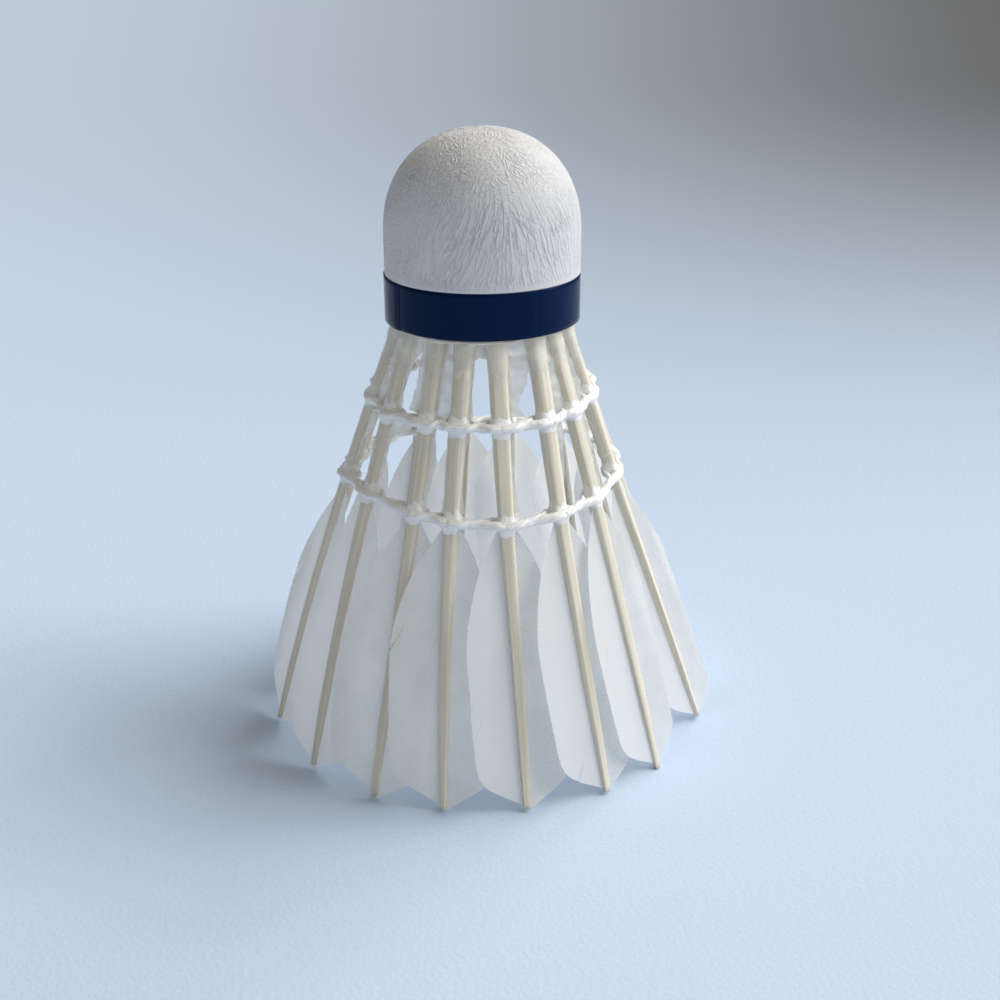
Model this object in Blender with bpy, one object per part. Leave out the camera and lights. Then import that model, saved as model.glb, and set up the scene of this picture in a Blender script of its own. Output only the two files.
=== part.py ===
"""Feather badminton shuttlecock, standing on its feather tips with the cork base up.

Lengths are in metres. The axis of the shuttlecock is Z, the floor is z = 0, and the front
faces -Y. Azimuths are measured about the axis from the front, growing to the right.
"""
import math
from collections import namedtuple

import bmesh
import bpy
from mathutils import Vector

MM = 0.001

# Base
BASE_RADIUS = 13.25 * MM
BASE_REAR_HEIGHT = 59.3 * MM
BASE_SIDE_LENGTH = 11.4 * MM
DOME_LENGTH = 13.8 * MM
DOME_SQUARENESS = 2.2
TAPE_THICKNESS = 0.25 * MM
TAPE_WIDTH = 5.85 * MM
TAPE_SETBACK = 0.3 * MM
TAPE_END_AZIMUTH = math.radians(-55)
TAPE_LAP_LENGTH = 8.0 * MM
TAPE_RAMP_LENGTH = 3.0 * MM
TAPE_RAMP_LEAD = 1.5 * MM
COVER_PRESSED_THICKNESS = 0.6 * MM
COVER_SHOULDER = 0.6 * MM
SOCKET_DEPTH = 8.0 * MM
SOCKET_WALL = 0.5 * MM
GLUE_THICKNESS = 0.75 * MM
GLUE_WALL = 0.4 * MM
GLUE_INNER_LEDGE = 0.9 * MM

# Feathers
FEATHERS = 16
TIP_RADIUS = 31.3 * MM
TIP_CROWDING = math.radians(4.5)
QUILL_BOW = 0.7 * MM
QUILL_END_WIDTH = 1.6 * MM
QUILL_ROOT_WIDTH = 2.1 * MM
QUILL_TIP_WIDTH = 1.05 * MM
QUILL_END_DEPTH = 1.3 * MM
QUILL_ROOT_DEPTH = 1.6 * MM
QUILL_TIP_DEPTH = 0.95 * MM
QUILL_GROOVE = 0.2 * MM
QUILL_SQUARENESS = 3.0
VANE_THICKNESS = 0.3 * MM
VANE_LEDGE = 0.35 * MM
VANE_CUT_ANGLE = math.radians(61)
VANE_CORNER_SHARPNESS = 4.0
LEFT_VANE_WIDTH = 7.2 * MM
LEFT_TIP_HEIGHT = 1.3 * MM
LEFT_TAPER_HEIGHT = 16.0 * MM
LEFT_TAPER_POWER = 1.75
RIGHT_VANE_WIDTH = 6.2 * MM
RIGHT_TIP_HEIGHT = 0.5 * MM
RIGHT_TAPER_HEIGHT = 12.0 * MM
RIGHT_TAPER_POWER = 1.4

# Threads
UPPER_ROW_HEIGHT = 48.8 * MM
LOWER_ROW_HEIGHT = 36.9 * MM
THREAD_DIAMETER = 0.6 * MM
THREAD_END_GAP = 1.2 * MM
THREAD_END_RUN = 0.3 * MM
HOLD_SHARPNESS = 4

# Clearances
SEAT_GAP = 0.25 * MM
COVER_GAP = 0.2 * MM
TAPE_GAP = 0.15 * MM
VANE_LAP_GAP = 0.35 * MM
VANE_START_GAP = 0.7 * MM
CUTTER_OVERRUN = 0.75 * MM

# Sizes that follow from those above
TAPE_INNER_RADIUS = BASE_RADIUS - TAPE_THICKNESS
PRESSED_RADIUS = TAPE_INNER_RADIUS - TAPE_GAP
COVER_INNER_RADIUS = PRESSED_RADIUS - COVER_PRESSED_THICKNESS
COVER_THICKNESS = BASE_RADIUS - COVER_INNER_RADIUS
CORK_RADIUS = COVER_INNER_RADIUS - COVER_GAP
ROOT_RADIUS = CORK_RADIUS - SOCKET_WALL - SEAT_GAP - QUILL_ROOT_DEPTH / 2
TAPE_REAR_HEIGHT = BASE_REAR_HEIGHT + TAPE_SETBACK
TAPE_FRONT_HEIGHT = TAPE_REAR_HEIGHT + TAPE_WIDTH
DOME_START_HEIGHT = BASE_REAR_HEIGHT + BASE_SIDE_LENGTH
TWINE_RADIUS = (THREAD_DIAMETER + SEAT_GAP) / 2
VANE_TOP_HEIGHT = LOWER_ROW_HEIGHT - TWINE_RADIUS - THREAD_DIAMETER / 2 - VANE_START_GAP

# Facets
BASE_SEGMENTS = 40
DOME_STEPS = 7
QUILL_SIDES = 10
QUILL_STEPS = 7
VANE_COLUMNS = 2
VANE_TIP_ROWS = (0.0, 0.45, 0.9, 1.3, 2.0)
VANE_TAPER_ROWS = (1.0, 0.67, 0.33, 0.0)
TWIST_STEPS = 6
TWIST_NEIGHBOURS = 4
SMOOTH_ANGLE = math.radians(40)
MERGE_DISTANCE = 0.01 * MM

# Vanes: side is -1 to the left of the quill and 1 to its right, seen from outside
Vane = namedtuple("Vane", "name side width tip_height taper_height taper_power")
LEFT = Vane("vane_left", -1, LEFT_VANE_WIDTH, LEFT_TIP_HEIGHT, LEFT_TAPER_HEIGHT, LEFT_TAPER_POWER)
RIGHT = Vane("vane_right", 1, RIGHT_VANE_WIDTH, RIGHT_TIP_HEIGHT, RIGHT_TAPER_HEIGHT, RIGHT_TAPER_POWER)


def polar(radius, azimuth, height):
    """Point at a radius and azimuth about the axis."""
    return Vector((radius * math.sin(azimuth), -radius * math.cos(azimuth), height))


def azimuth_of(point):
    """Azimuth of a point about the axis."""
    return math.atan2(point.x, -point.y)


def make_material(name, colour, roughness):
    """Principled material of one colour."""
    material = bpy.data.materials.new(name)
    material.use_nodes = True
    shader = material.node_tree.nodes["Principled BSDF"]
    shader.inputs["Base Color"].default_value = (*colour, 1.0)
    shader.inputs["Roughness"].default_value = roughness
    shader.inputs["Metallic"].default_value = 0.0
    return material


def add_object(name, data, material):
    """Link an object under the shuttlecock's empty and give it its material."""
    if isinstance(data, bpy.types.Mesh):
        data.shade_smooth()
        data.set_sharp_from_angle(angle=SMOOTH_ANGLE)
    data.materials.append(material)
    piece = bpy.data.objects.new(name, data)
    piece.parent = bpy.data.objects["shuttlecock"]
    bpy.context.scene.collection.objects.link(piece)
    return piece


def add_loft(model, sections):
    """Skin a row of equal closed sections into one closed body."""
    loops = [[model.verts.new(point) for point in section] for section in sections]
    for lower, upper in zip(loops, loops[1:]):
        for here, there in zip(range(-1, len(lower) - 1), range(len(lower))):
            model.faces.new((lower[here], lower[there], upper[there], upper[here]))
    model.faces.new(loops[0])
    model.faces.new(loops[-1])


def loft_mesh(name, bodies):
    """Mesh of one or more lofted bodies, each a row of sections."""
    model = bmesh.new()
    for sections in bodies:
        add_loft(model, sections)
    bmesh.ops.recalc_face_normals(model, faces=model.faces)
    mesh = bpy.data.meshes.new(name)
    model.to_mesh(mesh)
    model.free()
    return mesh


def turned(name, profile, material):
    """Body turned about the axis from (radius, height) points that run down its outer side."""
    mesh = bpy.data.meshes.new(name)
    edges = [(step, step + 1) for step in range(len(profile) - 1)]
    mesh.from_pydata([(radius, 0.0, height) for radius, height in profile], edges, [])
    piece = add_object(name, mesh, material)
    screw = piece.modifiers.new("turn", "SCREW")
    screw.steps = BASE_SEGMENTS
    screw.render_steps = BASE_SEGMENTS
    screw.use_merge_vertices = True
    screw.merge_threshold = MERGE_DISTANCE
    return piece


def dome_profile(radius, length):
    """Rounded dome from its top on the axis down to its widest ring."""
    power = 2 / DOME_SQUARENESS
    points = [(0.0, DOME_START_HEIGHT + length)]
    for step in range(1, DOME_STEPS + 1):
        angle = math.pi / 2 * (1 - step / DOME_STEPS)
        points.append((radius * math.cos(angle) ** power,
                       DOME_START_HEIGHT + length * math.sin(angle) ** power))
    return points


def feather_azimuth(index):
    """Azimuth at which a feather enters the cork."""
    return (index + 0.5) * math.tau / FEATHERS


def quill_centre(index, height):
    """Centre of a quill, straight in its socket and bowed a little outward below the cork.

    The hand-set tips crowd towards the front and the back of the skirt.
    """
    root_azimuth = feather_azimuth(index)
    tip_azimuth = root_azimuth - TIP_CROWDING * math.sin(2 * root_azimuth)
    root = polar(ROOT_RADIUS, root_azimuth, BASE_REAR_HEIGHT)
    tip = polar(TIP_RADIUS, tip_azimuth, 0.0)
    share = 1 - height / BASE_REAR_HEIGHT
    bow = 4 * QUILL_BOW * share * min(1 - share, 1.0)
    return root.lerp(tip, share) + polar(bow, root_azimuth, 0.0)


def taper(height, end, root, tip):
    """Size of a quill that grows from its buried end to the cork face and thins to its tip."""
    share = 1 - height / BASE_REAR_HEIGHT
    if share >= 0:
        return root + (tip - root) * share
    return root + (end - root) * (height - BASE_REAR_HEIGHT) / SOCKET_DEPTH


def quill_half_width(height):
    """Half of a quill's width round the skirt."""
    return taper(height, QUILL_END_WIDTH, QUILL_ROOT_WIDTH, QUILL_TIP_WIDTH) / 2


def quill_half_depth(height):
    """Half of a quill's depth towards the axis."""
    return taper(height, QUILL_END_DEPTH, QUILL_ROOT_DEPTH, QUILL_TIP_DEPTH) / 2


def quill_section(index, height, clearance, groove):
    """Rounded oblong slice of a quill, with a groove in its inner side."""
    centre = quill_centre(index, height)
    azimuth = azimuth_of(centre)
    outward = polar(1.0, azimuth, 0.0)
    across = polar(1.0, azimuth + math.pi / 2, 0.0)
    half_width = quill_half_width(height) + clearance
    half_depth = quill_half_depth(height) + clearance
    roundness = 2 / QUILL_SQUARENESS
    section = []
    for step in range(QUILL_SIDES):
        angle = math.tau * step / QUILL_SIDES - math.pi / 2
        side = math.copysign(abs(math.cos(angle)) ** roundness, math.cos(angle))
        depth = math.copysign(abs(math.sin(angle)) ** roundness, math.sin(angle))
        dent = groove if step == 0 else 0.0
        section.append(centre + across * side * half_width + outward * (depth * half_depth + dent))
    return section


def quill_heights():
    """Heights of a quill's sections, from its buried end to its tip on the floor."""
    buried = BASE_REAR_HEIGHT + SOCKET_DEPTH
    return [buried] + [BASE_REAR_HEIGHT * (1 - step / QUILL_STEPS) for step in range(QUILL_STEPS + 1)]


def add_quill(index, material):
    """One feather shaft."""
    name = f"quill_{index + 1:02d}"
    sections = [quill_section(index, height, 0.0, QUILL_GROOVE) for height in quill_heights()]
    add_object(name, loft_mesh(name, [sections]), material)


def add_socket_cutter(material):
    """Room for every quill: its outline with a clearance, from past the glue to past its end."""
    below = BASE_REAR_HEIGHT - COVER_GAP - GLUE_THICKNESS - CUTTER_OVERRUN
    above = BASE_REAR_HEIGHT + SOCKET_DEPTH + SEAT_GAP
    bodies = [[quill_section(index, height, SEAT_GAP, 0.0) for height in (below, BASE_REAR_HEIGHT, above)]
              for index in range(FEATHERS)]
    cutter = add_object("socket_cutter", loft_mesh("socket_cutter", bodies), material)
    cutter.hide_render = True
    cutter.display_type = "WIRE"
    return cutter


def cut_sockets(piece, cutter):
    """Cut the quills' room out of a piece."""
    cut = piece.modifiers.new("sockets", "BOOLEAN")
    cut.operation = "DIFFERENCE"
    cut.solver = "EXACT"
    cut.object = cutter


def add_cork(cutter, material):
    """Cork core with a blind socket for each quill."""
    profile = dome_profile(CORK_RADIUS, DOME_LENGTH - COVER_THICKNESS - COVER_GAP)
    profile += [(CORK_RADIUS, BASE_REAR_HEIGHT), (0.0, BASE_REAR_HEIGHT)]
    cut_sockets(turned("cork_core", profile, material), cutter)


def add_cover(material):
    """Leather skin over the dome, pressed thinner under the tape."""
    inside = dome_profile(COVER_INNER_RADIUS, DOME_LENGTH - COVER_THICKNESS)
    profile = dome_profile(BASE_RADIUS, DOME_LENGTH)
    profile += [(BASE_RADIUS, TAPE_FRONT_HEIGHT + COVER_SHOULDER),
                (PRESSED_RADIUS, TAPE_FRONT_HEIGHT),
                (PRESSED_RADIUS, BASE_REAR_HEIGHT),
                (COVER_INNER_RADIUS, BASE_REAR_HEIGHT)]
    turned("leather_cover", profile + inside[::-1], material)


def add_tape(material):
    """Tape wound once round the rear of the base, its outer end lapped over its start."""
    lap = TAPE_LAP_LENGTH / BASE_RADIUS
    ramp = TAPE_RAMP_LENGTH / BASE_RADIUS
    ramp_end = math.tau - TAPE_RAMP_LEAD / BASE_RADIUS
    full = math.tau + lap
    steps = BASE_SEGMENTS + math.ceil(BASE_SEGMENTS * lap / math.tau)
    sections = []
    for step in range(steps + 1):
        turn = full * step / steps
        climb = min(max((turn - ramp_end) / ramp + 1, 0.0), 1.0)
        inner = TAPE_INNER_RADIUS + climb * (TAPE_THICKNESS + TAPE_GAP)
        azimuth = TAPE_END_AZIMUTH - lap + turn
        sections.append([polar(inner, azimuth, TAPE_REAR_HEIGHT),
                         polar(inner + TAPE_THICKNESS, azimuth, TAPE_REAR_HEIGHT),
                         polar(inner + TAPE_THICKNESS, azimuth, TAPE_FRONT_HEIGHT),
                         polar(inner, azimuth, TAPE_FRONT_HEIGHT)])
    add_object("tape_band", loft_mesh("tape_band", [sections]), material)


def add_root_glue(cutter, material):
    """Glue ring on the rear face of the cork, round the roots of the quills."""
    top = BASE_REAR_HEIGHT - COVER_GAP
    bottom = top - GLUE_THICKNESS
    root_reach = QUILL_ROOT_DEPTH / 2 + SEAT_GAP
    spread = quill_centre(0, bottom).to_2d().length
    outer = spread + root_reach + GLUE_WALL
    inner = ROOT_RADIUS - root_reach - GLUE_INNER_LEDGE
    profile = [(inner, top), (outer, top), (outer, bottom), (inner, bottom), (inner, top)]
    cut_sockets(turned("root_glue", profile, material), cutter)


def quill_pitch(index, height):
    """Arc between a quill and its neighbour to the right, and the quill's distance from the axis."""
    here = quill_centre(index, height)
    there = quill_centre(index + 1, height)
    radius = here.to_2d().length
    return (azimuth_of(there) - azimuth_of(here)) % math.tau * radius, radius


def vane_start(height):
    """Distance from a quill's middle at which its vanes begin."""
    return quill_half_width(height) + SEAT_GAP


def vane_width(vane, height):
    """Reach of a vane from the quill's middle: cut aslant at the tip, full, then tapered to its top."""
    top_width = vane_start(VANE_TOP_HEIGHT) + VANE_LEDGE
    share = max((height - VANE_TOP_HEIGHT) / vane.taper_height + 1, 0.0)
    full = vane.width - (vane.width - top_width) * share ** vane.taper_power
    above_tip = max(height - vane.tip_height, 0.0)
    cut = vane_start(vane.tip_height) + VANE_LEDGE + above_tip * math.tan(VANE_CUT_ANGLE)
    return (full ** -VANE_CORNER_SHARPNESS + cut ** -VANE_CORNER_SHARPNESS) ** (-1 / VANE_CORNER_SHARPNESS)


def vane_heights(vane):
    """Heights of a vane's rows, closer where its edge curves."""
    corner = vane.width / math.tan(VANE_CUT_ANGLE)
    tip_rows = [vane.tip_height + corner * share for share in VANE_TIP_ROWS]
    return tip_rows + [VANE_TOP_HEIGHT - vane.taper_height * share for share in VANE_TAPER_ROWS]


def feather_turn():
    """Angle by which each flat feather is turned about its quill, so that the feathers lap.

    Turning lifts every left vane over its left neighbour's right vane. They come closest at
    the right vane's edge, and a right vane that reaches the next quill dips under it.
    """
    turn = 0.0
    for height in vane_heights(LEFT) + vane_heights(RIGHT):
        left = vane_width(LEFT, height)
        right = vane_width(RIGHT, height)
        for index in range(FEATHERS):
            pitch, radius = quill_pitch(index, height)
            bend = pitch / radius / 2
            if left + right > pitch:
                lift = VANE_THICKNESS + VANE_LAP_GAP + (2 * right - pitch) * bend
                turn = max(turn, lift / pitch)
            room = pitch - vane_start(height)
            if right > room:
                dip = quill_half_depth(height) + VANE_THICKNESS + SEAT_GAP
                turn = max(turn, bend + dip / room)
    return turn


def add_vane(vane, index, turn, material):
    """One thin flat vane along one side of a quill."""
    name = f"{vane.name}_{index + 1:02d}"
    model = bmesh.new()
    rows = []
    for height in vane_heights(vane):
        centre = quill_centre(index, height)
        outward = vane.side * polar(1.0, azimuth_of(centre) + math.pi / 2 + turn, 0.0)
        inner = vane_start(height)
        outer = vane_width(vane, height)
        reaches = [inner + (outer - inner) * column / VANE_COLUMNS for column in range(VANE_COLUMNS + 1)]
        rows.append([model.verts.new(centre + outward * reach) for reach in reaches])
    for lower, upper in zip(rows, rows[1:]):
        for column in range(VANE_COLUMNS):
            model.faces.new((lower[column], lower[column + 1], upper[column + 1], upper[column]))
    mesh = bpy.data.meshes.new(name)
    model.to_mesh(mesh)
    model.free()
    piece = add_object(name, mesh, material)
    thicken = piece.modifiers.new("thickness", "SOLIDIFY")
    thicken.thickness = VANE_THICKNESS
    thicken.offset = 0.0


def twine_point(index, share, strand, row_height):
    """Point of one thread of a twined pair, a share of the way from a quill to the next one.

    The pair holds a quill between its two threads and makes a half twist in every gap, so a
    thread passes outside one quill and inside the next.
    """
    here = quill_centre(index, row_height)
    pitch, radius = quill_pitch(index, row_height)
    next_radius = quill_centre(index + 1, row_height).to_2d().length
    hold = twine_hold_share(index, row_height)
    progress = min(max((share - hold) / (1 - 2 * hold), 0.0), 1.0)
    turn = math.pi * (index + progress + strand)
    hold_radius = quill_half_depth(row_height) + SEAT_GAP + THREAD_DIAMETER / 2
    offset = TWINE_RADIUS + (hold_radius - TWINE_RADIUS) * math.cos(math.pi * progress) ** HOLD_SHARPNESS
    centre_radius = radius + (next_radius - radius) * share
    azimuth = azimuth_of(here) + pitch / radius * share
    return polar(centre_radius + offset * math.cos(turn), azimuth, row_height + offset * math.sin(turn))


def twine_hold_share(index, row_height):
    """Share of a gap over which a thread still runs straight past the quill."""
    pitch, _ = quill_pitch(index, row_height)
    return (quill_half_width(row_height) + SEAT_GAP + THREAD_DIAMETER / 2) / pitch


def twine_points(strand, row_height):
    """Points of one thread once round the skirt, from the rear gap back to it."""
    first = FEATHERS // 2 - 1
    pitch, _ = quill_pitch(first, row_height)
    end_share = THREAD_END_GAP / 2 / pitch
    next_share = end_share + THREAD_END_RUN / pitch
    points = []
    for lap in range(FEATHERS + 1):
        index = (first + lap) % FEATHERS
        hold = twine_hold_share(index, row_height)
        shares = [0.0, hold]
        shares += [hold + (1 - 2 * hold) * step / TWIST_STEPS for step in range(1, TWIST_STEPS)]
        shares.append(1 - hold)
        if lap == 0:
            shares = [0.5 + end_share] + [share for share in shares if share > 0.5 + next_share]
        if lap == FEATHERS:
            shares = [share for share in shares if share < 0.5 - next_share] + [0.5 - end_share]
        points += [twine_point(index, share, strand, row_height) for share in shares]
    return points


def least_gap(points, others, skip):
    """Least clear gap between threads through two rows of points, less near neighbours."""
    gaps = [(here - there).length for first, here in enumerate(points)
            for second, there in enumerate(others) if abs(first - second) >= skip]
    return min(gaps) - THREAD_DIAMETER


def add_thread(name, points, material):
    """One thread as a round tube with closed ends."""
    curve = bpy.data.curves.new(name, "CURVE")
    curve.dimensions = "3D"
    curve.bevel_depth = THREAD_DIAMETER / 2
    curve.bevel_resolution = 1
    curve.use_fill_caps = True
    spline = curve.splines.new("POLY")
    spline.points.add(len(points) - 1)
    for place, point in zip(spline.points, points):
        place.co = (*point, 1.0)
    add_object(name, curve, material)


def add_thread_row(row, row_height, material):
    """The two twined threads of one row, with their measured gaps."""
    pair = [twine_points(strand, row_height) for strand in (0, 1)]
    for letter, points in zip("ab", pair):
        name = f"{row}_thread_{letter}"
        add_thread(name, points, material)
        print(f"{name}: least gap to itself {least_gap(points, points, TWIST_NEIGHBOURS) / MM:.2f} mm")
    print(f"{row} row: least gap between its threads {least_gap(*pair, 0) / MM:.2f} mm")


def clear_scene():
    """Remove whatever the scene holds and start the shuttlecock's empty."""
    for leftover in list(bpy.data.objects):
        bpy.data.objects.remove(leftover, do_unlink=True)
    bpy.context.scene.collection.objects.link(bpy.data.objects.new("shuttlecock", None))


def main():
    clear_scene()
    cork = make_material("cork", (0.55, 0.36, 0.19), 0.85)
    leather = make_material("white_leather", (0.86, 0.86, 0.87), 0.6)
    tape = make_material("navy_tape", (0.006, 0.012, 0.045), 0.2)
    glue = make_material("dried_glue", (0.83, 0.81, 0.76), 0.35)
    shaft = make_material("ivory_quill", (0.80, 0.75, 0.64), 0.4)
    barbs = make_material("white_vane", (0.87, 0.88, 0.90), 0.6)
    thread = make_material("glued_thread", (0.88, 0.89, 0.90), 0.45)

    cutter = add_socket_cutter(cork)
    add_cork(cutter, cork)
    add_cover(leather)
    add_tape(tape)
    add_root_glue(cutter, glue)
    turn = feather_turn()
    for index in range(FEATHERS):
        add_quill(index, shaft)
        add_vane(LEFT, index, turn, barbs)
        add_vane(RIGHT, index, turn, barbs)
    add_thread_row("upper", UPPER_ROW_HEIGHT, thread)
    add_thread_row("lower", LOWER_ROW_HEIGHT, thread)


main()
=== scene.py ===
"""Looks of a feather badminton shuttlecock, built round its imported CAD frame.

The shuttlecock stands on its feather tips with the base up. Lengths are in metres, the axis
is Z and the front faces -Y. Azimuths are measured about the axis from the front, growing to
the right. A web is the row of barbs on one side of a quill.
"""

import math
import random

import bpy
import numpy as np
from bpy.props import FloatProperty, FloatVectorProperty, IntProperty, PointerProperty
from mathutils import Matrix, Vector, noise


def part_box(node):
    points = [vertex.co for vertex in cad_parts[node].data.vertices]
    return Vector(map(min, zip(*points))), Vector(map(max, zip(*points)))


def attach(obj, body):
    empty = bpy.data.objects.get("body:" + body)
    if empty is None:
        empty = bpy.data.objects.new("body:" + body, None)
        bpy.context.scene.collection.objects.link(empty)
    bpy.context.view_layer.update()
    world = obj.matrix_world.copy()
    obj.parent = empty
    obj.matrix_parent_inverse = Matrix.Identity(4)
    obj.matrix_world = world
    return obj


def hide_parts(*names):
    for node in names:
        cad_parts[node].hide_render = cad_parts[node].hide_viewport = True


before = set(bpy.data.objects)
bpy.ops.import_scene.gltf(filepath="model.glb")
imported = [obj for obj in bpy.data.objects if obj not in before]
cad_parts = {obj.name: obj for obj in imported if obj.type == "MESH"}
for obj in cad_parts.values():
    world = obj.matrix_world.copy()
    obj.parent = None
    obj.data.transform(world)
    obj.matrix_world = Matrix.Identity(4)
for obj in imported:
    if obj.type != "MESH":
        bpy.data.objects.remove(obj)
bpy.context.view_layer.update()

bl_info = {
    "name": "Feather shuttlecock",
    "version": (1, 0, 0),
    "blender": (4, 5, 0),
    "location": "View3D > Sidebar > Shuttlecock",
    "description": "Builds the looks of a feather badminton shuttlecock",
    "category": "Add Mesh",
}

MM = 0.001
BODY = "root"
FEATHERS = sum(name.startswith("quill_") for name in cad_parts)
LEFT, RIGHT = -1, 1
SIDE_NAMES = {LEFT: "left", RIGHT: "right"}
UP = np.array([0.0, 0.0, 1.0])
ROWS = ("upper", "lower")

# Heights at which the lie of an uneven quill is given, tip first, in millimetres
LIE_HEIGHTS = (0, 18, 37, 59)
# Most that a usual quill lies to each side there, in millimetres, and the height over which a lie ends
USUAL_LIE = 0.4
LIE_FADE = 2 * MM
# Uneven quills: how far each lies to the right and outwards at those heights, in millimetres
QUILL_LIES = {
    1: ((0.35, 0.0, -0.5, -0.3), (0, 0, 0, 0)),
    2: ((1.0, 0.3, 0.05, 1.0), (0, 0, 0, 0)),
    3: ((-1.6, -1.4, -0.8, 0.3), (0, 0, 0, 0)),
    4: ((0, 0, 0, 0), (0.6, -0.2, -0.6, 0.35)),
    7: ((-0.5, -1.2, -1.6, -1.0), (0, 0, 0, 0)),
    13: ((0, 0, 0, 0), (0, 0.5, 0.7, 0.7)),
    14: ((1.1, 0.1, -0.5, -0.4), (0, 0, 0, 0.4)),
    15: ((0.55, 0.8, 0.95, 0.3), (0, 0, 0, 0)),
    16: ((-0.4, -0.9, -0.85, -0.1), (0, 0, 0, 0)),
}
# Uneven girth of quills and width of left webs, as shares of the CAD's
QUILL_GIRTHS = {1: 1.14, 2: 1.06, 15: 1.06, 16: 1.1}
LEFT_WEB_SHARES = {13: 1.05, 14: 0.82, 15: 1.08, 16: 1.02, 1: 0.95, 2: 1.03, 3: 1.0}
# Share of the CAD's depth that a quill has
QUILL_DEPTH_SHARE = 1.22
# Girth of a quill by height, fine at the tip and full where it is bare
GIRTH_BY_HEIGHT = ((0.0, 8 * MM, 28 * MM, 45 * MM), (0.74, 1.0, 1.0, 1.14))
# Tips trimmed shorter than the CAD's, in millimetres
TIP_TRIMS = {13: 0.7, 14: 0.7, 3: 0.1, 4: 0.6}
USUAL_TIP_TRIM = 0.4
# Left webs whose furrows show more than usual, as shares of their depth and of their painted furrow
# shade
LEFT_RELIEFS = {15: 0.9, 16: 0.75}
# Uneven thread rows: how much higher each crosses a quill than in the CAD, in millimetres
ROW_LIES = {
    "upper": {13: 0.25, 14: -0.55, 15: -0.4, 16: -0.45, 1: -0.6, 2: -0.5, 3: -0.15, 4: 0.25},
    "lower": {13: 1.1, 14: 0.85, 15: 0.2, 16: -0.3, 1: -0.7, 2: -0.1, 3: 0.45, 4: 1.1},
}
USUAL_ROW_LIE = 0.65
# Uneven turn of feathers about their quills, in degrees
FEATHER_TURNS = {13: 3, 3: -6, 4: -32, 5: -10}


# Frame

def node_points(name):
    """Vertices of a CAD node, one row of x, y, z each."""
    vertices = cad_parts[name].data.vertices
    points = np.empty(len(vertices) * 3)
    vertices.foreach_get("co", points)
    return points.reshape(-1, 3)


def polar(radius, azimuth, height=0.0):
    """Points at a radius and azimuth about the axis."""
    radius, azimuth, height = np.broadcast_arrays(radius, azimuth, height)
    return np.stack([radius * np.sin(azimuth), -radius * np.cos(azimuth), height], axis=-1)


def bell(values, width):
    """Smooth bump of height 1 about 0."""
    return np.exp(-(values / width) ** 2)


def smooth_step(values):
    """Smooth rise from 0 to 1."""
    values = np.clip(values, 0.0, 1.0)
    return values * values * (3 - 2 * values)


def azimuth_of(points):
    """Azimuth of points about the axis."""
    return np.arctan2(points[..., 0], -points[..., 1])


def axes_at(azimuth):
    """Level directions to the right and outwards at an azimuth."""
    return polar(1.0, azimuth + math.pi / 2), polar(1.0, azimuth)


def line_points(heights, line_heights, places):
    """Points at those heights of a line whose places are given by height."""
    return np.stack([np.interp(heights, line_heights, column) for column in places.T], axis=-1)


class Quill:
    """One quill by height: the CAD's centre line and half sizes, made a little uneven."""

    def __init__(self, number):
        points = np.unique(node_points(f"quill_{number:02d}").round(7), axis=0)
        self.number = number
        self.heights = np.unique(points[:, 2])
        rings = [points[points[:, 2] == height] for height in self.heights]
        self.cad_centres = np.array([ring.mean(axis=0) for ring in rings])
        azimuths = azimuth_of(self.cad_centres)
        across, outward = axes_at(azimuths)
        spans = [(ring - centre) @ np.stack(axes, axis=1)
                 for ring, centre, *axes in zip(rings, self.cad_centres, across, outward)]
        girth = QUILL_GIRTHS.get(number, 1.0) * np.interp(self.heights, *GIRTH_BY_HEIGHT)[:, None]
        half_sizes = np.array([span.max(axis=0) for span in spans])
        self.half_sizes = half_sizes * girth * (1.0, QUILL_DEPTH_SHARE)
        self.end = self.heights[0] + TIP_TRIMS.get(number, USUAL_TIP_TRIM) * MM
        self.centres = self.cad_centres + self.lie(across, outward)

    def lie(self, across, outward):
        """Steps away from the CAD's centre line, none where the quill sits in the cork."""
        chance = random.Random(self.number)
        usual = [[chance.uniform(-USUAL_LIE, USUAL_LIE) for _ in LIE_HEIGHTS] for _ in range(2)]
        heights = np.array(LIE_HEIGHTS) * MM
        free = 1 - smooth_step((self.heights - heights[-1]) / LIE_FADE)
        steps = [np.interp(self.heights, heights, np.array(values) * MM) * free
                 for values in QUILL_LIES.get(self.number, usual)]
        return across * steps[0][:, None] + outward * steps[1][:, None]

    def centre(self, heights):
        """Centre of the quill at each height."""
        return line_points(heights, self.heights, self.centres)

    def azimuth(self, heights):
        """Azimuth of the quill at each height."""
        return azimuth_of(self.centre(heights))

    def radius(self, heights):
        """Distance of the quill from the axis at each height."""
        return np.hypot(*np.moveaxis(self.centre(heights)[..., :2], -1, 0))

    def half_width(self, heights):
        """Half of the quill's width round the skirt at each height."""
        return np.interp(heights, self.heights, self.half_sizes[:, 0])

    def half_depth(self, heights):
        """Half of the quill's depth towards the axis at each height."""
        return np.interp(heights, self.heights, self.half_sizes[:, 1])


QUILLS = [Quill(number) for number in range(1, FEATHERS + 1)]
COVER_LOW, COVER_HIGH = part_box("leather_cover")
TAPE_LOW, TAPE_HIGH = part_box("tape_band")
BASE_RADIUS = COVER_HIGH.x
REAR_HEIGHT = COVER_LOW.z
ROW_HEIGHTS = {row: sum(corner.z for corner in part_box(f"{row}_thread_a")) / 2 for row in ROWS}
WEB_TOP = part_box("lower_thread_a")[0].z


# Settings

def length(name, description, millimetres):
    """Length setting, given in millimetres."""
    return FloatProperty(name=name, description=description, default=millimetres * MM,
                         unit="LENGTH", precision=5)


def angle(name, description, degrees):
    """Angle setting, given in degrees."""
    return FloatProperty(name=name, description=description, default=math.radians(degrees),
                         subtype="ANGLE")


def number(name, description, value):
    """Plain number setting."""
    return FloatProperty(name=name, description=description, default=value)


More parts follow.
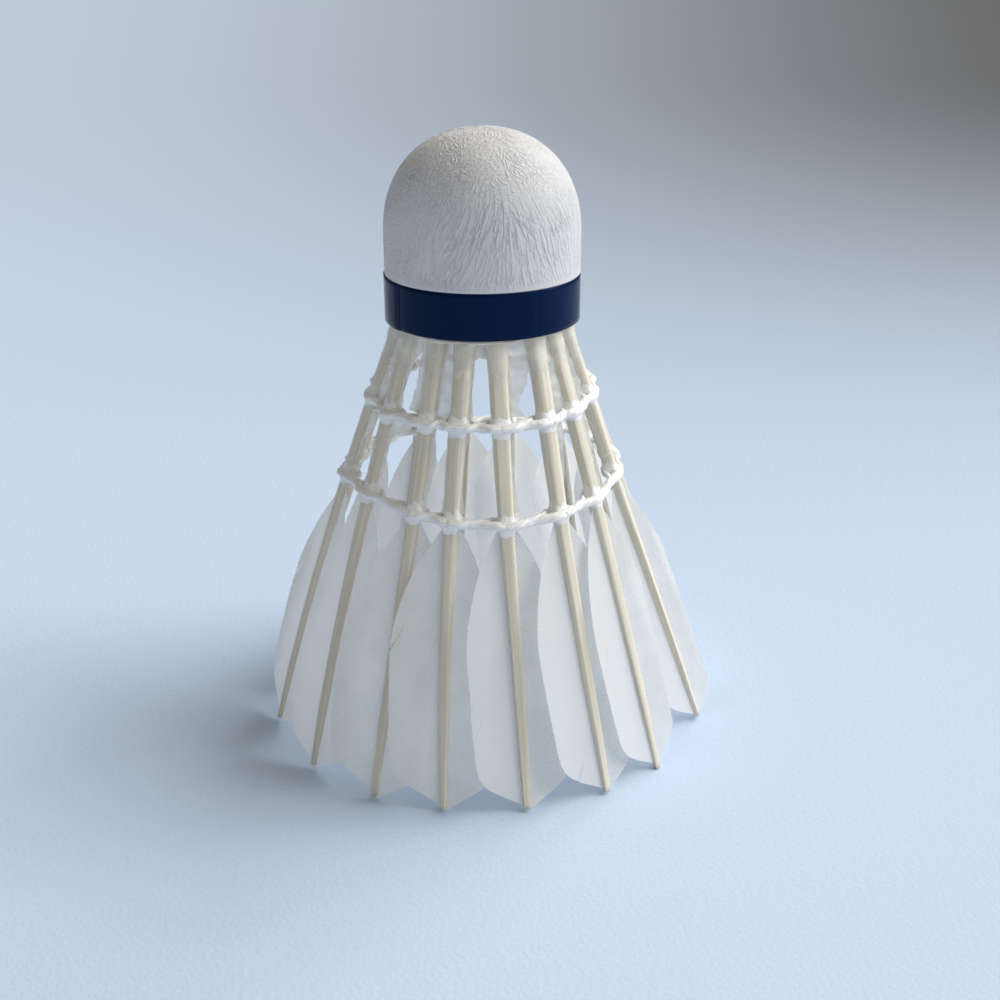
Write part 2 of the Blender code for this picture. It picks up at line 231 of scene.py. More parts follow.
def count(name, description, value):
    """Whole number setting."""
    return IntProperty(name=name, description=description, default=value, min=1)


def colour(name, description, red, green, blue):
    """Colour setting, in linear light."""
    return FloatVectorProperty(name=name, description=description, default=(red, green, blue, 1.0),
                               size=4, min=0.0, max=1.0, subtype="COLOR")


class ShuttlecockSizes(bpy.types.PropertyGroup):
    """Sizes of the visible forms that the CAD frame leaves open."""

    dome_length: length("Dome length", "Height of the rounded end of the base", 13.8)
    dome_squareness: number("Dome squareness", "2 is a plain ellipse, more is fuller", 2.2)
    leather_thickness: length("Leather thickness", "Thickness of the cover away from the tape", 0.9)
    crease_depth: length("Crease depth", "Depth of the creases at the side of the leather", 0.075)
    crease_width: length("Crease width", "Distance between creases", 0.34)
    crease_length: length("Crease length", "Length over which a crease runs straight", 1.25)
    crease_lean: angle("Crease lean", "Most that creases lean towards each other", 24)
    crease_meeting: angle("Crease meeting", "Azimuth at which creases lean together", 15)
    wrinkle_depth: length("Wrinkle depth", "Depth of the wrinkles on top of the leather", 0.055)
    wrinkle_width: length("Wrinkle width", "Distance between wrinkles", 0.22)
    wrinkle_length: length("Wrinkle length", "Length over which a wrinkle runs straight", 0.24)

    tape_thickness: length("Tape thickness", "Thickness of the tape", 0.16)
    tape_end: angle("Tape end", "Azimuth of the tape's outer end", -55)
    tape_lap: length("Tape lap", "Length of tape lapped over its start", 8.0)
    tape_ramp: length("Tape ramp", "Length over which the tape climbs on its start", 3.0)
    tape_dent: length("Tape dent", "Depth of the dents in the tape", 0.09)

    quill_squareness: number("Quill squareness", "At the base; 2 is an ellipse, more is squarer", 2.6)
    tip_squareness: number("Tip squareness", "Squareness of a quill at its tip", 5.0)
    quill_groove: length("Quill groove", "Depth of the groove on the inner side", 0.2)
    quill_ridge: length("Quill ridge", "Height of the fine ridges along a quill", 0.025)
    quill_wander: length("Quill wander", "Uneven swelling along a quill", 0.03)

    barb_pitch: length("Barb pitch", "Distance between barbs along the quill", 0.6)
    barb_angle: angle("Barb angle", "Angle between the barbs and the quill", 35)
    barb_bend: number("Barb bend", "Droop of a barb along its reach, per metre", 22)
    barb_relief: length("Barb relief", "Depth of the furrow between barbs", 0.05)
    # A web's relief also scales the painted shade in its furrows
    left_relief: number("Left relief", "Share of the furrows' depth that a left web usually shows", 0.3)
    barb_fray: length("Barb fray", "Uneven reach of the barb ends", 0.1)
    web_curl: number("Web curl", "Outward curl of a left web, per metre", 10)
    web_wave: length("Web wave", "Slow waviness of a web", 0.12)
    web_drop: length("Web drop", "How much lower than the CAD's a web ends", 0.3)
    web_cut: angle("Web cut", "Angle between the trimmed tip of a web and the quill", 61)
    left_corner: number("Left corner", "Sharpness of a left web's corner above its trim", 4.0)
    right_corner: number("Right corner", "Sharpness of a right web's corner above its trim", 12.0)
    left_taper: length("Left taper", "Height over which a left web narrows to its top", 16.0)
    left_taper_power: number("Left taper power", "Roundness of a left web's narrowing", 1.75)
    right_taper: length("Right taper", "Height over which a right web narrows to its top", 12.0)
    right_taper_power: number("Right taper power", "Roundness of a right web's narrowing", 1.4)

    strand_radius: length("Strand radius", "Radius of one thread of a twined pair", 0.4)
    strand_plies: count("Strand plies", "Plies twisted into a thread", 3)
    ply_pitch: length("Ply pitch", "Length of one turn of the plies", 1.7)
    bead_radius: length("Bead radius", "Radius of the glue bead along a thread row", 0.62)
    collar_thickness: length("Collar thickness", "Glue round a quill at a thread row", 0.44)
    collar_height: length("Collar height", "Height of the glue round a quill at a thread row", 1.5)
    crust_thickness: length("Crust thickness", "Glue round a quill under the tape", 0.34)
    crust_height: length("Crust height", "Height of the glue round a quill under the tape", 6.5)
    fibre_radius: length("Fibre radius", "Radius of a loose fibre", 0.04)


class ShuttlecockFinishes(bpy.types.PropertyGroup):
    """Colours of the finishes."""

    leather_light: colour("Leather light", "Raised skin of the leather", 0.69, 0.695, 0.71)
    # Colour of the painted shade in the leather's creases
    leather_crease_shade: colour("Leather deep", "Creases of the leather", 0.43, 0.43, 0.45)
    tape_blue: colour("Tape blue", "Navy of the tape", 0.0004, 0.0105, 0.052)
    cork_light: colour("Cork light", "Pale grains of the cork", 0.62, 0.42, 0.24)
    cork_dark: colour("Cork dark", "Dark grains of the cork", 0.30, 0.17, 0.08)
    glue_white: colour("Glue white", "Dried glue of the threads", 0.94, 0.94, 0.93)
    glue_cream: colour("Glue cream", "Dried glue at the roots of the quills", 0.82, 0.785, 0.685)
    quill_cream: colour("Quill cream", "Pale streaks of a quill", 0.80, 0.765, 0.665)
    quill_tan: colour("Quill tan", "Dark streaks of a quill", 0.70, 0.655, 0.54)
    web_white: colour("Web white", "Barbs", 0.95, 0.96, 0.97)
    # Colour of the painted shade in the furrows between barbs
    web_furrow_shade: colour("Web furrow", "Furrows between barbs", 0.70, 0.73, 0.75)
    thread_white: colour("Thread white", "Thread", 0.95, 0.96, 0.97)
    room_light: colour("Room light", "Even light of the room", 1.0, 0.94, 0.84)
    backdrop: colour("Backdrop", "Backdrop beyond the floor", 0.47, 0.55, 0.65)
    floor_near: colour("Floor near", "Floor round the shuttlecock", 0.59, 0.72, 0.91)
    # Floor colours far behind are painted shade, darkest as a painted shadow on the right
    floor_left_shade: colour("Floor left", "Floor far behind on the left", 0.525, 0.62, 0.762)
    floor_right_shadow: colour("Floor right", "Floor far behind on the right", 0.035, 0.03, 0.022)


# Meshes

def noise_at(points, bump, shift=0.0):
    """Smooth noise from -1 to 1 at each point, whose bumps are about that long."""
    places = points.reshape(-1, 3) / bump + shift
    values = np.array([noise.noise(place) for place in places.tolist()])
    return values.reshape(points.shape[:-1])


def grid_faces(rows, columns, wrap_rows=False, wrap_columns=False, first=0):
    """Quads of a grid of vertices that are counted row by row."""
    index = first + np.arange(rows * columns).reshape(rows, columns)
    if wrap_rows:
        index = np.vstack([index, index[:1]])
    if wrap_columns:
        index = np.hstack([index, index[:, :1]])
    return np.stack([index[:-1, :-1], index[:-1, 1:], index[1:, 1:], index[1:, :-1]], axis=-1)


def tube_faces(rows, columns, closed, first=0):
    """Faces of rings of vertices: walls, and two caps unless the tube closes on itself."""
    faces = grid_faces(rows, columns, closed, True, first).reshape(-1, 4).tolist()
    if not closed:
        faces.append(list(range(first, first + columns))[::-1])
        faces.append(list(range(first + (rows - 1) * columns, first + rows * columns)))
    return faces


def around(steps):
    """Angles of even steps once round."""
    return np.linspace(0, math.tau, steps, endpoint=False)


def unit(vectors):
    """Vectors scaled to a length of 1."""
    return vectors / np.linalg.norm(vectors, axis=-1, keepdims=True)


def shaped_mesh(name, points, faces):
    """Smooth mesh of points and faces."""
    mesh = bpy.data.meshes.new(name)
    mesh.from_pydata(points, [], faces)
    mesh.update()
    mesh.shade_smooth()
    return mesh


def tubes_mesh(name, tubes, closed=False):
    """Mesh of several tubes, each an array of rings."""
    points, faces = [], []
    for rings in tubes:
        faces += tube_faces(*rings.shape[:2], closed, len(points))
        points += rings.reshape(-1, 3).tolist()
    return shaped_mesh(name, points, faces)


def add_values(mesh, name, values, kind="FLOAT", field="value"):
    """Give each vertex of a mesh a value, or a vector, that its finish reads by name."""
    mesh.attributes.new(name, kind, "POINT")
    mesh.attributes[name].data.foreach_set(field, values.ravel())


def add_piece(name, mesh, material, slot, *nodes):
    """Put a piece on the shuttlecock, with its finish and the CAD nodes it stands for."""
    piece = bpy.data.objects.new(name, mesh)
    bpy.context.scene.collection.objects.link(piece)
    mesh.materials.append(material)
    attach(piece, BODY)
    if nodes:
        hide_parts(*nodes)


def spoked_rings(path, first, second, radii):
    """Rings about a path between two directions, with a radius for each point and each angle."""
    angles = around(radii.shape[1])[None, :, None]
    spokes = first[:, None] * np.cos(angles) + second[:, None] * np.sin(angles)
    return path[:, None] + spokes * radii[..., None]


def swept_rings(path, radii):
    """Rings about a closed level path, with a radius for each point and each angle."""
    along = np.roll(path, -1, axis=0) - np.roll(path, 1, axis=0)
    outward = unit(np.cross(along, UP))
    return spoked_rings(path, outward, unit(np.cross(outward, along)), radii)


# Finishes

def new_material(name):
    """Empty node material and its tree."""
    material = bpy.data.materials.new(name)
    material.use_nodes = True
    material.node_tree.nodes.clear()
    return material, material.node_tree


def node(tree, kind, inputs=None, **settings):
    """Shader node with its settings and its inputs, each a value or another node's output."""
    made = tree.nodes.new("ShaderNode" + kind)
    for setting, value in settings.items():
        setattr(made, setting, value)
    for socket, value in (inputs or {}).items():
        if isinstance(value, bpy.types.NodeSocket):
            tree.links.new(value, made.inputs[socket])
        else:
            made.inputs[socket].default_value = value
    return made


def finished(material, surface):
    """Material that shows a shader."""
    node(material.node_tree, "OutputMaterial", {"Surface": surface})
    return material


def principled(tree, inputs):
    """Shader of a plain surface."""
    return node(tree, "BsdfPrincipled", inputs).outputs["BSDF"]


def blended(tree, share, first, second):
    """Mix of two shaders, with that share of the second."""
    return node(tree, "MixShader", {0: share, 1: first, 2: second}).outputs["Shader"]


def combined(tree, operation, first, second):
    """Two values multiplied, added or otherwise combined."""
    return node(tree, "Math", {0: first, 1: second}, operation=operation).outputs["Value"]


def vertex_values(tree, name, output="Fac"):
    """Values that the vertices of a mesh have under a name."""
    return node(tree, "Attribute", attribute_name=name).outputs[output]


def object_coordinates(tree):
    """Places on the object, in metres."""
    return node(tree, "TexCoord").outputs["Object"]


def grain(tree, coordinates, bump, detail=3.0):
    """Noise whose bumps are about that long."""
    inputs = {"Vector": coordinates, "Scale": 1 / bump, "Detail": detail}
    return node(tree, "TexNoise", inputs).outputs["Fac"]


def spread(tree, value, low, high, start=0.3, end=0.7):
    """Value eased from start..end to low..high."""
    inputs = {"Value": value, "From Min": start, "From Max": end, "To Min": low, "To Max": high}
    return node(tree, "MapRange", inputs, interpolation_type="SMOOTHSTEP").outputs["Result"]


def two_tone(tree, value, first, second):
    """Colour that runs from the first to the second as the value runs from 0 to 1."""
    return node(tree, "Mix", {0: value, 6: first, 7: second}, data_type="RGBA").outputs[2]


def raised(tree, height, depth, strength=1.0):
    """Normal that follows a height, with bumps of that depth."""
    inputs = {"Height": height, "Distance": depth, "Strength": strength}
    return node(tree, "Bump", inputs).outputs["Normal"]


def leather_finish(finishes):
    """White matte leather with a fine grain, and painted shade in its creases, patchy under slow
    clouds.
    """
    material, tree = new_material("white_leather")
    place = object_coordinates(tree)
    clouds = spread(tree, grain(tree, place, 5 * MM), 0.35, 0.9)
    # Painted shade: the creases are darkened, patchy under slow clouds
    shade = combined(tree, "MULTIPLY", vertex_values(tree, "crease"), clouds)
    fine = grain(tree, place, 0.22 * MM, detail=5.0)
    return finished(material, principled(tree, {
        "Base Color": two_tone(tree, shade, finishes.leather_light, finishes.leather_crease_shade),
        "Roughness": spread(tree, fine, 0.5, 0.72),
        "Normal": raised(tree, fine, 0.05 * MM, strength=0.7),
        "Specular IOR Level": 0.35,
    }))


def tape_finish(finishes):
    """Dark glossy tape with a faint unevenness."""
    material, tree = new_material("navy_tape")
    place = object_coordinates(tree)
    uneven = grain(tree, place, 2.2 * MM, detail=2.0)
    dust = grain(tree, place, 0.3 * MM, detail=4.0)
    return finished(material, principled(tree, {
        "Base Color": finishes.tape_blue,
        "Roughness": spread(tree, dust, 0.1, 0.2),
        "Normal": raised(tree, uneven, 0.12 * MM, strength=0.35),
        "Specular IOR Level": 0.07,
    }))


def cork_finish(finishes):
    """Pressed cork: grains of light and dark brown with pits."""
    material, tree = new_material("cork")
    place = object_coordinates(tree)
    cells = node(tree, "TexVoronoi", {"Vector": place, "Scale": 1 / (1.1 * MM)}).outputs["Color"]
    specks = grain(tree, place, 0.35 * MM, detail=6.0)
    tone = spread(tree, combined(tree, "MULTIPLY", cells, specks), 0.0, 1.0, start=0.1, end=0.5)
    return finished(material, principled(tree, {
        "Base Color": two_tone(tree, tone, finishes.cork_dark, finishes.cork_light),
        "Roughness": spread(tree, specks, 0.75, 0.95),
        "Normal": raised(tree, specks, 0.15 * MM),
    }))


def quill_finish(finishes):
    """Ivory horn with streaks along the quill."""
    material, tree = new_material("ivory_quill")
    streaks = grain(tree, vertex_values(tree, "lengthwise", "Vector"), 0.3 * MM)
    tone = spread(tree, streaks, 0.0, 1.0)
    return finished(material, principled(tree, {
        "Base Color": two_tone(tree, tone, finishes.quill_tan, finishes.quill_cream),
        "Roughness": spread(tree, streaks, 0.34, 0.48),
        "Normal": raised(tree, streaks, 0.04 * MM, strength=0.5),
        "Subsurface Weight": 0.3,
        "Subsurface Radius": (1.0, 0.85, 0.6),
        "Subsurface Scale": 0.7 * MM,
    }))


def web_finish(finishes):
    """Thin white barbs that let light through, with painted shade in the furrows between them, stronger
    in patches.
    """
    material, tree = new_material("white_web")
    place = object_coordinates(tree)
    patches = spread(tree, grain(tree, place, 5 * MM, detail=1.0), 0.2, 1.0, start=0.3, end=0.6)
    # Painted shade in the furrows, patchy, also in the light that comes through
    furrow = combined(tree, "MULTIPLY", vertex_values(tree, "furrow"), patches)
    mottle = grain(tree, place, 1.2 * MM)
    shade = combined(tree, "MULTIPLY", furrow, spread(tree, mottle, 0.3, 0.65))
    front = principled(tree, {
        "Base Color": two_tone(tree, shade, finishes.web_white, finishes.web_furrow_shade),
        "Roughness": spread(tree, mottle, 0.5, 0.65),
        "Specular IOR Level": 0.3,
    })
    seen_through = two_tone(tree, furrow, finishes.web_white, finishes.web_furrow_shade)
    through = node(tree, "BsdfTranslucent", {"Color": seen_through}).outputs["BSDF"]
    return finished(material, blended(tree, 0.5, front, through))


def thread_finish(finishes):
    """White thread, matted and stiffened with glue."""
    material, tree = new_material("glued_thread")
    fibres = grain(tree, object_coordinates(tree), 0.12 * MM, detail=4.0)
    tone = spread(tree, fibres, 0.0, 1.0)
    return finished(material, principled(tree, {
        "Base Color": two_tone(tree, tone, finishes.glue_white, finishes.thread_white),
        "Roughness": spread(tree, fibres, 0.35, 0.6),
        "Normal": raised(tree, fibres, 0.05 * MM),
        "Coat Weight": 0.25,
        "Coat Roughness": 0.2,
    }))


def glue_finish(name, tint, clear, cloudy, through=0.0):
    """Dried glue, clear to cloudy, with a lumpy gloss and a share of light that comes through."""
    material, tree = new_material(name)
    place = object_coordinates(tree)
    clouds = spread(tree, grain(tree, place, 2.5 * MM, detail=1.0), clear, cloudy)
    lumps = grain(tree, place, 0.6 * MM)
    outside = principled(tree, {
        "Base Color": tint,
        "Roughness": spread(tree, lumps, 0.15, 0.35),
        "Normal": raised(tree, lumps, 0.15 * MM, strength=0.7),
        "IOR": 1.46,
        "Coat Weight": 0.4,
        "Coat Roughness": 0.1,
    })
    inside = node(tree, "BsdfTranslucent", {"Color": tint}).outputs["BSDF"]
    gap = node(tree, "BsdfTransparent").outputs["BSDF"]
    return finished(material, blended(tree, clouds, gap, blended(tree, through, outside, inside)))


# The floor's painted shade fans out from a point that many metres in front of the shuttlecock
FAN_START = 0.42
# Slopes of the fan over which the painted shadow on the right sets in, and shares of its depth over
# which the near floor gives way to painted shade
FAN_SLOPES = (-0.3, 0.43)
FAN_DEPTHS = (0.1, 0.7)
# Distances from the shuttlecock over which the painted shadow on the right ends, in metres
SHADOW_ENDS = (2.3, 3.6)


def floor_finish(finishes):
    """Pale floor with painted shade: greyer far behind, with a dark painted shadow far behind on the
    right.
    """
    material, tree = new_material("pale_floor")
    place = object_coordinates(tree)
    across, depth, _ = node(tree, "SeparateXYZ", {"Vector": place}).outputs
    depth = combined(tree, "MAXIMUM", depth, 0.0)
    fan = combined(tree, "ADD", depth, FAN_START)
    sideways = spread(tree, combined(tree, "DIVIDE", across, fan), 0.0, 1.0, *FAN_SLOPES)
    behind = spread(tree, combined(tree, "DIVIDE", depth, fan), 0.0, 1.0, *FAN_DEPTHS)
    away = node(tree, "VectorMath", {0: place}, operation="LENGTH").outputs["Value"]
    # Painted shadow far behind on the right, and painted shade far behind elsewhere
    dark = combined(tree, "MULTIPLY", sideways, spread(tree, away, 1.0, 0.0, *SHADOW_ENDS))
    far = two_tone(tree, dark, finishes.floor_left_shade, finishes.floor_right_shadow)
    return finished(material, principled(tree, {
        "Base Color": two_tone(tree, behind, finishes.floor_near, far),
        "Roughness": 0.7,
        "Normal": raised(tree, grain(tree, place, 0.7 * MM), 0.12 * MM, strength=0.5),
        "Specular IOR Level": 0.2,
    }))


# Base

# Share of the dome's arc at which its first ring stands
FIRST_RING = 0.004
# Gap of the leather above the tape, its drop behind the tape's edge, and its play under the tape
COVER_LIP = 0.1 * MM
COVER_TUCK = 0.2 * MM
COVER_PLAY = 0.15 * MM
# Rings of the cover's plain lining
LINING_STEPS = 24


def dome_curve(sizes, radius, dome, steps):
    """Radius and height of a dome from near its top on the axis down to its widest ring."""
    power = 2 / sizes.dome_squareness
    turn = math.pi / 2 * (1 - np.linspace(FIRST_RING, 1.0, steps))
    start = COVER_HIGH.z - sizes.dome_length
    return np.stack([radius * np.cos(turn) ** power, start + dome * np.sin(turn) ** power], axis=1)


def cover_rings(sizes, segments=900, dome_steps=220, side_steps=60):
    """Rings of the cover, creased outside, tucked under the tape and plain inside, and how far each
    point is in a crease, for painted shade.
    """
    dome = dome_curve(sizes, BASE_RADIUS, sizes.dome_length, dome_steps)
    side = np.linspace(dome[-1, 1], TAPE_HIGH.z + COVER_LIP, side_steps)[1:]
    outer = np.vstack([dome, np.stack([np.full(side_steps - 1, BASE_RADIUS), side], axis=1)])
    slope = unit(np.gradient(outer, axis=0))
    azimuths = around(segments)
    points = polar(outer[:, :1], azimuths, outer[:, 1:])
    outward = polar(-slope[:, 1:], azimuths, slope[:, :1])
    upward = polar(-slope[:, :1], azimuths, -slope[:, 1:])
    across = polar(np.ones_like(slope[:, :1]), azimuths + math.pi / 2)
    height, crease = crease_heights(sizes, points, upward, across, azimuths)
    points = points + outward * height[..., None]
    pressed = BASE_RADIUS - sizes.tape_thickness - COVER_PLAY
    inner = BASE_RADIUS - sizes.leather_thickness
    tuck = [(pressed, TAPE_HIGH.z - COVER_TUCK), (pressed, REAR_HEIGHT), (inner, REAR_HEIGHT)]
    lining = dome_curve(sizes, inner, sizes.dome_length - sizes.leather_thickness, LINING_STEPS)[::-1]
    hidden = np.vstack([tuck, lining])
    rings = np.vstack([points, polar(hidden[:, :1], azimuths, hidden[:, 1:])])
    return rings, np.vstack([crease, np.zeros((len(hidden), segments))])


# Samples that smear a noise, those that one of its bumps takes, and the usual spread of the noise
SMEAR_SAMPLES = 13
SAMPLES_PER_BUMP = 1.8
NOISE_SPREAD = 0.28
# Width of the valleys and height of the ridges that a smeared noise makes
CREASE_SPREAD = 0.6
RIDGE_HEIGHT = 0.5
# Height on the dome where wrinkles begin, and how much shorter than the dome the rise is that they take
WRINKLE_START = 2 * MM
WRINKLE_MARGIN = 6 * MM
# Cosine of the azimuth where the front begins, its rise to full, and the share of creases at the back
FRONT_EDGE, FRONT_RISE = 0.3, 0.6
BACK_CREASES = 0.3
# Swings of the creases' lean round the base, and the height over which creases fade at the tape
LEAN_WAVES = 3
TAPE_FADE = 1.2 * MM


def smeared_noise(points, along, reach, width):
    """Noise smeared along a direction, so that its bumps are long, with a spread of about 1."""
    steps = np.linspace(-reach, reach, SMEAR_SAMPLES)
    value = sum(noise_at(points + along * step, width) for step in steps)
    apart = min(1 + SAMPLES_PER_BUMP * reach / width, SMEAR_SAMPLES)
    return value * math.sqrt(apart) / (SMEAR_SAMPLES * NOISE_SPREAD)


def folds(values):
    """Height of folds where smeared noise crosses 0, and how far each point is in a valley."""
    valleys = bell(values, CREASE_SPREAD)
    return RIDGE_HEIGHT * np.tanh(values) - valleys, valleys


def crease_heights(sizes, points, upward, across, azimuths):
    """Height of the leather, and how far each point is in a crease, which the finish darkens as painted
    shade.

    Long creases lean together at the front, and short wrinkles lie loosely everywhere else.
    """
    def leaning(angles):
        return upward * np.cos(angles)[..., None] + across * np.sin(angles)[..., None]

    start = COVER_HIGH.z - sizes.dome_length
    rise = sizes.dome_length - WRINKLE_MARGIN
    loose = smooth_step((points[..., 2] - start - WRINKLE_START) / rise)
    from_meeting = azimuths - sizes.crease_meeting
    front = smooth_step((np.cos(from_meeting) - FRONT_EDGE) / FRONT_RISE)
    share = (1 - loose) * (BACK_CREASES + (1 - BACK_CREASES) * front)
    lean = np.broadcast_to(-sizes.crease_lean * np.sin(LEAN_WAVES * from_meeting), loose.shape)
    lean = lean + 0.25 * noise_at(points, 3 * MM, shift=2.0)
    creases = smeared_noise(points, leaning(lean), sizes.crease_length, sizes.crease_width)
    stray = math.pi * noise_at(points, 4 * MM, shift=7.0)
    wrinkles = smeared_noise(points, leaning(stray), sizes.wrinkle_length, sizes.wrinkle_width)
    fade = smooth_step((points[..., 2] - TAPE_HIGH.z) / TAPE_FADE)
    strength = fade * (0.8 + 0.35 * noise_at(points, 4 * MM, shift=3.0))
    long, long_valleys = folds(creases)
    short, short_valleys = folds(wrinkles)
    height = sizes.crease_depth * long * share + sizes.wrinkle_depth * short * (1 - share)
    return strength * height, strength * (long_valleys * share + short_valleys * (1 - share))


# Rows of the tape's face, how far it hangs over the rear, and the ramps it climbs before the full turn
TAPE_ROWS = 12
TAPE_OVERHANG = 0.1 * MM
RAMP_LEAD = 1.5
# Length of the tape's end that is pressed flat, and the share of its thickness lost there
TAPE_PRESS = 1.2 * MM
PRESSED_SHARE = 0.75


def tape_rings(sizes, segments=700):
    """Rings of the tape, wound once round the base, its outer end lapped over its start."""
    lap = sizes.tape_lap / BASE_RADIUS
    ramp = sizes.tape_ramp / BASE_RADIUS
    turn = np.linspace(0.0, math.tau + lap, segments)
    climb = smooth_step((turn - math.tau) / ramp + RAMP_LEAD)
    azimuth = (sizes.tape_end - lap + turn)[:, None]
    inner = BASE_RADIUS - sizes.tape_thickness + climb * sizes.tape_thickness
    low, high = REAR_HEIGHT - TAPE_OVERHANG, TAPE_HIGH.z
    edge = sizes.tape_thickness / 3
    face = np.linspace(low + edge, high - edge, TAPE_ROWS)
    heights = np.concatenate([[low + edge, low], face, [high, high - edge]])
    depth = np.concatenate([[0.0, 0.5], np.ones(TAPE_ROWS), [0.5, 0.0]]) * sizes.tape_thickness
    dents = tape_dents(sizes, azimuth, heights) * (depth > 0)
    pressed = 1 - PRESSED_SHARE * smooth_step((turn - turn[-1]) / (TAPE_PRESS / BASE_RADIUS) + 1)
    return polar(inner[:, None] + pressed[:, None] * depth - dents, azimuth, heights)


# Dents of the tape: azimuth in degrees, half width in radians, height above the tape's middle and half
# height in millimetres, and share of the full depth
TAPE_DENTS = ((33, 0.03, 0.0, 3.0, 1.0), (11, 0.09, 1.3, 0.6, 0.7))
# Share of the full depth that the slow unevenness of the tape has, and its length
TAPE_UNEVENNESS = 0.25
UNEVEN_LENGTH = 4 * MM


def tape_dents(sizes, azimuth, heights):
    """Depth of the dents in the tape: an upright crease, a thumb mark and a slow unevenness."""
    middle = (TAPE_LOW.z + TAPE_HIGH.z) / 2
    slow = noise_at(polar(BASE_RADIUS, azimuth, heights), UNEVEN_LENGTH)
    marks = sum(share * (bell(azimuth - math.radians(degrees), width)
                         * bell(heights - middle - rise * MM, height * MM))
                for degrees, width, rise, height, share in TAPE_DENTS)
    return sizes.tape_dent * (marks + TAPE_UNEVENNESS * slow)


class SHUTTLECOCK_OT_dress_cork(bpy.types.Operator):
    """Give the CAD cork its grain"""

    bl_idname = "shuttlecock.dress_cork"
    bl_label = "Dress cork"

    def execute(self, context):
        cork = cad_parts["cork_core"]
        cork.material_slots[0].material = cork_finish(context.scene.shuttlecock_finishes)
        return {"FINISHED"}


class SHUTTLECOCK_OT_add_cover(bpy.types.Operator):
    """Add the creased leather cover"""

    bl_idname = "shuttlecock.add_cover"
    bl_label = "Add cover"

    def execute(self, context):
        rings, creases = cover_rings(context.scene.shuttlecock_sizes)
        mesh = tubes_mesh("cover", [rings])
        # The leather finish darkens these crease values as painted shade
        add_values(mesh, "crease", creases)
        add_piece("cover", mesh, leather_finish(context.scene.shuttlecock_finishes),
                  "white_leather", "leather_cover")
        return {"FINISHED"}


class SHUTTLECOCK_OT_add_tape(bpy.types.Operator):
    """Add the lapped tape"""

    bl_idname = "shuttlecock.add_tape"
    bl_label = "Add tape"

    def execute(self, context):
        mesh = tubes_mesh("tape", [tape_rings(context.scene.shuttlecock_sizes)])
        add_piece("tape", mesh, tape_finish(context.scene.shuttlecock_finishes),
                  "navy_tape", "tape_band")
        return {"FINISHED"}


# Feathers

# Width of a quill's groove, as a share of its half width
GROOVE_WIDTH = 0.3
# Coarse and fine ridges round a quill, height of the fine ones, and their turn from quill to quill
COARSE_RIDGES, FINE_RIDGES = 5, 11
FINE_SHARE = 0.7
PHASE_STEP = 2.4
# Length of a quill's swellings, and the shrink of its streaks along it
SWELLING = 6 * MM
STREAK_SHRINK = 0.02


def quill_rings(sizes, quill, heights, growth=0.0, sides=28):
    """Rounded oblong rings of a quill, grown by a thickness at each ring and side."""
    angles = around(sides)
    squareness = np.interp(heights, (0.0, REAR_HEIGHT), (sizes.tip_squareness, sizes.quill_squareness))
    power = 2 / squareness[:, None]
    across = np.sign(np.cos(angles)) * np.abs(np.cos(angles)) ** power
    depth = np.sign(np.sin(angles)) * np.abs(np.sin(angles)) ** power
    groove = sizes.quill_groove * bell(across, GROOVE_WIDTH) * (depth < 0)
    azimuth = quill.azimuth(heights)[:, None]
    width = (quill.half_width(heights)[:, None] + growth) * across
    deep = (quill.half_depth(heights)[:, None] + growth) * depth + groove
    rightward, outward = axes_at(azimuth)
    return quill.centre(heights)[:, None] + rightward * width[..., None] + outward * deep[..., None]


def shaft_rings(sizes, quill, steps=90, sides=40):
    """Rings of a bare quill with fine ridges along it and a slightly uneven girth."""
    heights = np.linspace(quill.heights[-1], quill.end, steps)
    angles = around(sides)
    phase = quill.number * PHASE_STEP
    coarse, fine = np.sin(COARSE_RIDGES * angles + phase), np.sin(FINE_RIDGES * angles - phase)
    ridges = sizes.quill_ridge * (coarse + FINE_SHARE * fine)
    spine = np.stack([np.full(steps, phase), np.zeros(steps), heights / SWELLING], axis=1)
    girth = sizes.quill_wander * noise_at(spine, 1.0)[:, None]
    buried = smooth_step((heights - REAR_HEIGHT) / MM + 1)[:, None]
    return quill_rings(sizes, quill, heights, (ridges + girth) * (1 - buried), sides)


def lengthwise_places(quill, rings):
    """Places that run along the quill, shrunk lengthwise, for its streaks."""
    places = rings - quill.centre(rings[..., 2])
    places[..., 2] = rings[..., 2] * STREAK_SHRINK + quill.number
    return places


# Usual widths of webs, as shares of the CAD's
USUAL_WEB_SHARES = (0.94, 1.04)
# Where barbs leave a quill, as a share of its half width
BARB_ROOT = 0.85
# Reach of a web at its top and at its tip, as shares of that distance
TOP_LEDGE = 1.5
TIP_LEDGE = 1.4
# Steps in which a barb's end is looked for, how far past the web's width, and the shortest barb
END_STEPS = 400
END_LIMIT = 1.4
LEAST_BARB = 0.25 * MM


